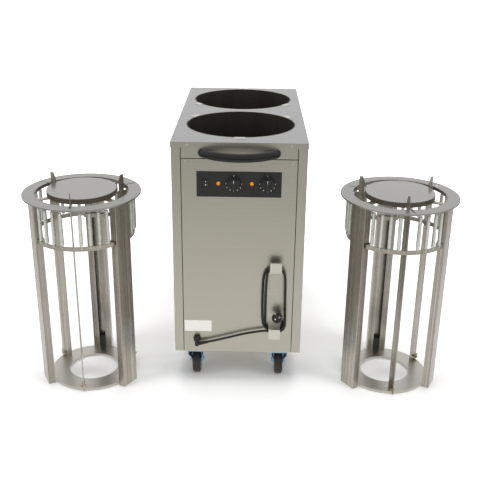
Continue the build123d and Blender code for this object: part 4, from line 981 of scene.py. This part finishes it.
# --- cord
CORD_ROUTE = (  # x, distance out from the front, height, mm
    (-105, 14, 172), (-72, 14, 180), (-30, 14, 192), (14, 14, 205), (58, 14, 214.5), (97, 14, 221),
)
HANK_ROUTE = (
    (108, 17.2, 219.4), (128, 17.6, 218.4), (149.6, 16.6, 218.4), (164, 11.8, 233),
    (164.4, 9.7, 256), (163, 9.7, 300), (161.8, 9.7, 350), (161.4, 9.7, 392), (160, 9.7, 420),
    (155.5, 9.7, 441), (143, 9.7, 455), (124.5, 9.7, 456.8), (110.5, 9.7, 456.6), (98, 9.7, 450),
    (90.5, 9.7, 438), (87, 9.7, 422.5), (85, 9.7, 404), (84.2, 9.9, 372), (83.9, 12, 335),
    (84.3, 14.8, 298), (85.6, 17, 266), (88.5, 17.8, 244), (101, 17.8, 229), (120, 17.7, 226.8),
    (150.2, 17.9, 226.8), (162.8, 19, 243), (163.5, 18.5, 264), (162, 18.5, 310),
    (160.6, 18.5, 360), (160.5, 18.5, 398), (159.8, 18.5, 424), (155, 18.5, 443),
    (143, 18.6, 457), (124, 18.6, 459.6), (111, 18.6, 457.8), (102, 18.5, 449.5),
    (98.4, 18.5, 436), (97.2, 18.5, 420), (96.3, 18.4, 400), (95, 17.3, 372), (94.6, 14.5, 335),
    (95.4, 11.5, 298), (95.4, 8.8, 266), (96, 7.4, 240), (102.4, 7.4, 226.6), (112.5, 7.4, 219.8),
    (125, 7.4, 219.2), (142, 7.2, 219.2), (155.6, 6.4, 232), (155, 5.6, 248), (151.3, 7.4, 256.2),
)
CONTACT_SPREAD = 0.01855  # the side contacts' and the round one's distance
EARTH_OFFSET = 0.0098  # from the plug's axis
RELIEF = (-142, 0, 181)  # x, distance out, height of the gland's nut, mm
BEAD_ROWS = {  # count, first depth, pitch; a cone's depth, radius, slope
    "plug": ((6, 0.012, 0.0034, 0.009, 0.0166, -0.0095 / 0.024),
             (4, 0.0345, 0.0032, 0.033, 0.0071, -0.0024 / 0.015)),
    "gland": ((7, 0.002, 0.0036, 0.0, 0.0046, 0.0016 / 0.03),),
}


def beads(name, start, along, turn, rows, **look):
    """Rows of round beads, backwards from a start; each row lies on its own cone."""
    places, widths = [], []
    for count, first, pitch, origin, radius, slope in BEAD_ROWS[rows]:
        for n in range(count):
            depth = first + pitch * n
            places.append((start - along * depth, turn))
            widths.append(radius + (depth - origin) * slope)
    return grown(name, rings_tree, places, "cabinet", widths, **look)


class WARMER_OT_lay_cord(bpy.types.Operator):
    """Lay the mains cord from its gland to the hooks, wound twice and ended in the plug"""

    bl_idname = "warmer.lay_cord"
    bl_label = "Lay Cord"

    def execute(self, context):
        curve = bpy.data.curves.new("mains_cord", "CURVE")
        curve.dimensions = "3D"
        curve.bevel_depth = sizes().cord_diameter / 2
        curve.bevel_resolution = 3
        curve.resolution_u = 8
        curve.use_fill_caps = True
        points = [out_place(*point) for point in CORD_ROUTE + HANK_ROUTE]
        line = curve.splines.new("NURBS")
        line.points.add(len(points) - 1)
        for knot, point in zip(line.points, points):
            knot.co = (*point, 1.0)
        line.order_u = 3
        line.use_endpoint_u = True
        curve.materials.append(finish("cord"))
        cord = link("mains_cord", curve, "cabinet")
        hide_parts("power_cord", "cord_hank")
        dress("plug", "mains_plug")
        dress("cord", "cable_gland")
        return {"FINISHED"}


class WARMER_OT_dress_plug(bpy.types.Operator):
    """Add the plug's earth contacts and grip ridges"""

    bl_idname = "warmer.dress_plug"
    bl_label = "Dress Plug"

    def execute(self, context):
        turn = facing(PLUG_AXIS, PLUG_PINS)
        face = out_place(*PLUG_FACE)
        across = PLUG_AXIS.cross(PLUG_PINS).normalized()
        bm = bmesh.new()
        washer(bm, 0.0017, 0.0031, -0.002, 0.0009, 24, at(face + across * EARTH_OFFSET, turn),
               (0.0004, 0.0003))
        stand = Matrix((PLUG_PINS, PLUG_AXIS, PLUG_PINS.cross(PLUG_AXIS))).transposed()
        for end in (-1, 1):
            base = face + PLUG_AXIS * -0.0086 + across * end * CONTACT_SPREAD
            slab(bm, [(-0.002, 0), (0.002, 0), (0.002, 0.0084), (-0.002, 0.0084)],
                 0.0005, at(base, stand))
        fitting("plug_contacts", bm, "bright", "cabinet")
        ridges = beads("plug_ridges", face, PLUG_AXIS, turn, "plug", bead=0.0006, sides=28,
                       finish=finish("plug"))
        return {"FINISHED"}


class WARMER_OT_dress_gland(bpy.types.Operator):
    """Add the gland's flange nut and the beads of its bend relief"""

    bl_idname = "warmer.dress_gland"
    bl_label = "Dress Gland"

    def execute(self, context):
        bm = bmesh.new()
        washer(bm, 0.0112, 0.0138, 0.0, 0.0036, 6, at(out_place(*RELIEF), AHEAD), (0.001, 0.001))
        fitting("gland_nut", bm, "cord", "cabinet")
        start = out_place(*CORD_ROUTE[0])
        along = (out_place(*CORD_ROUTE[1]) - start).normalized()
        relief = beads("gland_beads", start, along, facing(along), "gland", bead=0.0007,
                       sides=24, finish=finish("cord"))
        return {"FINISHED"}


# --- wheels
HUB_FACE = 11.0  # ribs' distance from a wheel's middle plane, mm
HUB_MIDDLE = 0.0245  # ribs' distance from the axle, metres


class WARMER_OT_dress_wheels(bpy.types.Operator):
    """Add the ribs of the wheel hubs"""

    bl_idname = "warmer.dress_wheels"
    bl_label = "Dress Wheels"

    def execute(self, context):
        rib = bmesh.new()
        slab(rib, pill(0.02, 0.0024, 3), 0.0012, Matrix.Identity(4))
        shape = link("hub_rib", mesh_from(rib, "hub_rib"))
        for corner, (x, y) in WHEEL_PLACES.items():
            places = []
            for side in (-1, 1):
                normal = Vector((side, 0, 0))
                for n in range(sizes().hub_ribs):
                    angle = math.tau * n / sizes().hub_ribs
                    spoke = Vector((0, math.cos(angle), math.sin(angle)))
                    turn = Matrix((spoke.cross(normal), spoke, normal)).transposed()
                    spot = place(x + side * HUB_FACE, y, WHEEL_RADIUS) + spoke * HUB_MIDDLE
                    places.append((spot, turn))
            wheel = corner + "_wheel"
            ribs = grown(corner + "_hub_ribs", repeat_tree, places, wheel, shape=shape,
                         finish=NODES[wheel].data.materials[0])
        bpy.data.objects.remove(shape)
        return {"FINISHED"}


# --- springs
SPRING_ANGLES = (-40.5, -30.5, -20.5, -10.5, 10.5, 20.5, 30.5, 40.5)
GUIDE_ANGLES = (30.0, 150.0, 270.0)
SPRING_RING = 171.0  # radius of the springs' middles, mm
STRIP_FACE = 172.06  # radius of the face with the hooks' holes
SPRING_FOOT = 556.3  # ends of the fixed springs, mm
SPRING_TOP = 675.7
HOOK_RISE = 3.2  # from there to the end of the coil
HOLE_RISE = 5.4  # from there to the hole for the hook
HOOK_RADIUS = 0.0042  # metres


class WARMER_OT_hang_springs(bpy.types.Operator):
    """Hang the wound springs between each dispenser's flange and its carrier"""

    bl_idname = "warmer.hang_springs"
    bl_label = "Hang Springs"

    def execute(self, context):
        hole = bmesh.new()
        lathe(hole, [(0.0, -0.0001), (0.0021, -0.0001), (0.0021, 0.00015), (0.0, 0.00015)], 10)
        shape = link("hook_hole", mesh_from(hole, "hook_hole"))
        for side, (x, y, turn) in STACKS.items():
            places, upper, lower = [], [], []
            for guide in GUIDE_ANGLES:
                for step in SPRING_ANGLES:
                    angle = guide + step
                    heading = math.radians(angle + turn)
                    radial = Matrix.Rotation(heading, 3, "Z")
                    foot = around_stack(side, SPRING_RING, angle, SPRING_FOOT + HOOK_RISE)
                    places.append((foot, radial))
                    outward = facing(Vector((math.cos(heading), math.sin(heading), 0)))
                    for holes, z in ((upper, SPRING_TOP + HOLE_RISE),
                                     (lower, SPRING_FOOT - HOLE_RISE)):
                        holes.append((around_stack(side, STRIP_FACE, angle, z), outward))
            length = (SPRING_TOP - SPRING_FOOT - 2 * HOOK_RISE) * MM
            springs = grown(side + "_wound_springs", spring_tree, places, None,
                            coil_radius=sizes().spring_radius, wire_radius=sizes().wire_radius,
                            turns=sizes().spring_turns, length=length, hook_radius=HOOK_RADIUS,
                            finish=finish("wire"))
            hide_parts(side + "_springs")
            middle = place(x, y, 0)
            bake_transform(springs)
            # the flange's hook holes get discs of painted shade, the carrier's get bright steel
            # discs
            for name, holes, body, coat in (("flange", upper, "_dispenser", "eyelet"),
                                            ("carrier", lower, "_carrier", "bright")):
                row = grown(f"{side}_{name}_hook_holes", repeat_tree, holes, side + body,
                            shape=shape, finish=finish(coat))
        bpy.data.objects.remove(shape)
        return {"FINISHED"}


# --- stage
CAMERA_AT = (0.03626, -2.77863, 1.53092)
CAMERA_RIGHT = (0.99977, 0.01911, 0.00981)
CAMERA_UP = (-0.01629, 0.37732, 0.92594)
CAMERA_BACK = (0.01399, -0.92589, 0.37754)
CAMERA_LENS = 58.218
FLOOR_HALF = 60.0
FLOOR_LEVEL = -0.0004  # just under the wheels
POOL_Y = -0.2  # middle of the floor's pool of light


def seen_by(tree, *rays):
    """One for rays of the named kinds."""
    path = tree.node("LightPath").socket.node.outputs
    total, *others = [Wire(tree, path[name]) for name in rays]
    for other in others:
        total = total.sum("MAXIMUM", total, other)
    return total


def soft_box(name, size, spot, aim, power):
    """A large soft lamp aimed at a point; the steel mirrors the room and not the lamp."""
    lamp = bpy.data.lights.new(name, "AREA")
    lamp.shape = "RECTANGLE"
    lamp.size, lamp.size_y = size
    lamp.energy = power
    holder = link(name, lamp)
    holder.location = spot
    holder.rotation_euler = (Vector(spot) - Vector(aim)).to_track_quat("Z", "Y").to_euler()
    holder.visible_glossy = False
    holder.visible_camera = False


class WARMER_OT_build_stage(bpy.types.Operator):
    """Build the floor, backdrop light, soft boxes and camera"""

    bl_idname = "warmer.build_stage"
    bl_label = "Build Stage"

    def execute(self, context):
        scene = context.scene
        stage = scene.warmer_stage
        self.floor(stage)
        self.world(scene, stage)
        soft_box("overhead_box", (3.6, 3.0), (0.0, 0.2, 3.4), (0.0, 0.0, 0.0), stage.key)
        soft_box("left_box", (1.6, 2.2), (-3.2, -1.6, 2.2), (0.0, 0.0, 0.4), stage.fill)
        soft_box("right_box", (1.6, 2.2), (3.2, -1.8, 2.0), (0.0, 0.0, 0.4), stage.fill)
        self.camera(scene)
        scene.view_settings.view_transform = "Standard"
        return {"FINISHED"}

    def floor(self, stage):
        bm = bmesh.new()
        bmesh.ops.create_grid(bm, x_segments=8, y_segments=8, size=FLOOR_HALF)
        bmesh.ops.translate(bm, verts=bm.verts, vec=(0, 0, FLOOR_LEVEL))
        paper = Finish("floor_paper")
        x, y, _ = paper.axes()
        y = y - POOL_Y
        distance = (x * x + y * y).root()
        falloff = paper.spread(distance, 1.0, 0.45, 0.9, 3.2)
        away = paper.spread(distance, stage.floor_glow, 1.0, 1.1, 2.4)
        camera = seen_by(paper, "Is Camera Ray")
        mirror = seen_by(paper, "Is Glossy Ray", "Is Transmission Ray")
        grain = paper.noise(3.0)
        sheet = paper.node("BsdfDiffuse", sockets={
            "Color": paper.mix(grain, (0.92, 0.92, 0.92, 1), (0.94, 0.94, 0.94, 1))})
        glow = paper.node("Emission", sockets={
            "Color": (1, 1, 1, 1), "Strength": camera * away})
        lit = paper.node("AddShader", sockets={0: sheet, 1: glow})
        shine = paper.node("Emission", sockets={
            "Color": paper.mix(falloff, (1.0, 0.97, 0.92, 1), (1.0, 0.99, 0.975, 1)),
            "Strength": falloff})
        ground = paper.node("MixShader", sockets={0: mirror * 0.8, 1: lit, 2: shine})
        paper.end(ground)
        mesh = bpy.data.meshes.new("floor")
        bm.to_mesh(mesh)
        bm.free()
        mesh.materials.append(paper.material)
        floor = link("floor", mesh)

    def world(self, scene, stage):
        scene.world = bpy.data.worlds.new("studio")
        sky = Finish("studio", scene.world)
        seen = seen_by(sky, "Is Camera Ray", "Is Glossy Ray", "Is Transmission Ray")
        strength = seen * (1.0 - stage.ambient) + stage.ambient
        light = sky.node("Background", sockets={"Color": (1, 1, 1, 1), "Strength": strength})
        sky.end(light, "OutputWorld")

    def camera(self, scene):
        lens = bpy.data.cameras.new("camera")
        lens.lens = CAMERA_LENS
        lens.sensor_width = 36.0
        lens.sensor_fit = "HORIZONTAL"
        lens.clip_start, lens.clip_end = 0.05, 60.0
        camera = link("camera", lens)
        turn = Matrix((CAMERA_RIGHT, CAMERA_UP, CAMERA_BACK)).transposed()
        camera.matrix_world = at(CAMERA_AT, turn)
        scene.camera = camera


# --- add-on
STEPS = (
    WARMER_OT_finish_body,
    WARMER_OT_finish_controls,
    WARMER_OT_finish_casters,
    WARMER_OT_finish_dispensers,
    WARMER_OT_fit_screws,
    WARMER_OT_print_dials,
    WARMER_OT_mark_rocker,
    WARMER_OT_dress_knobs,
    WARMER_OT_dress_plug,
    WARMER_OT_dress_gland,
    WARMER_OT_lay_cord,
    WARMER_OT_dress_wheels,
    WARMER_OT_hang_springs,
    WARMER_OT_build_stage,
)


class WARMER_PT_tools(bpy.types.Panel):
    """Lists the cabinet's settings and its steps"""

    bl_idname = "WARMER_PT_tools"
    bl_label = "Plate Warmer"
    bl_space_type = "VIEW_3D"
    bl_region_type = "UI"
    bl_category = "Plate Warmer"

    def draw(self, context):
        scene = context.scene
        for settings in (scene.warmer_looks, scene.warmer_sizes, scene.warmer_stage):
            box = self.layout.box()
            for name in settings.__annotations__:
                box.prop(settings, name)
        for step in STEPS:
            self.layout.operator(step.bl_idname)


SETTINGS = {"warmer_looks": WarmerLooks, "warmer_sizes": WarmerSizes, "warmer_stage": WarmerStage}
CLASSES = (*SETTINGS.values(), *STEPS, WARMER_PT_tools)


def register():
    for each in CLASSES:
        bpy.utils.register_class(each)
    for name, group in SETTINGS.items():
        setattr(bpy.types.Scene, name, PointerProperty(type=group))


def unregister():
    for name in SETTINGS:
        delattr(bpy.types.Scene, name)
    for each in reversed(CLASSES):
        bpy.utils.unregister_class(each)


def main():
    """Registers the add-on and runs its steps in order."""
    register()
    for step in STEPS:
        group, name = step.bl_idname.split(".")
        getattr(getattr(bpy.ops, group), name)()


if __name__ == "__main__":
    main()
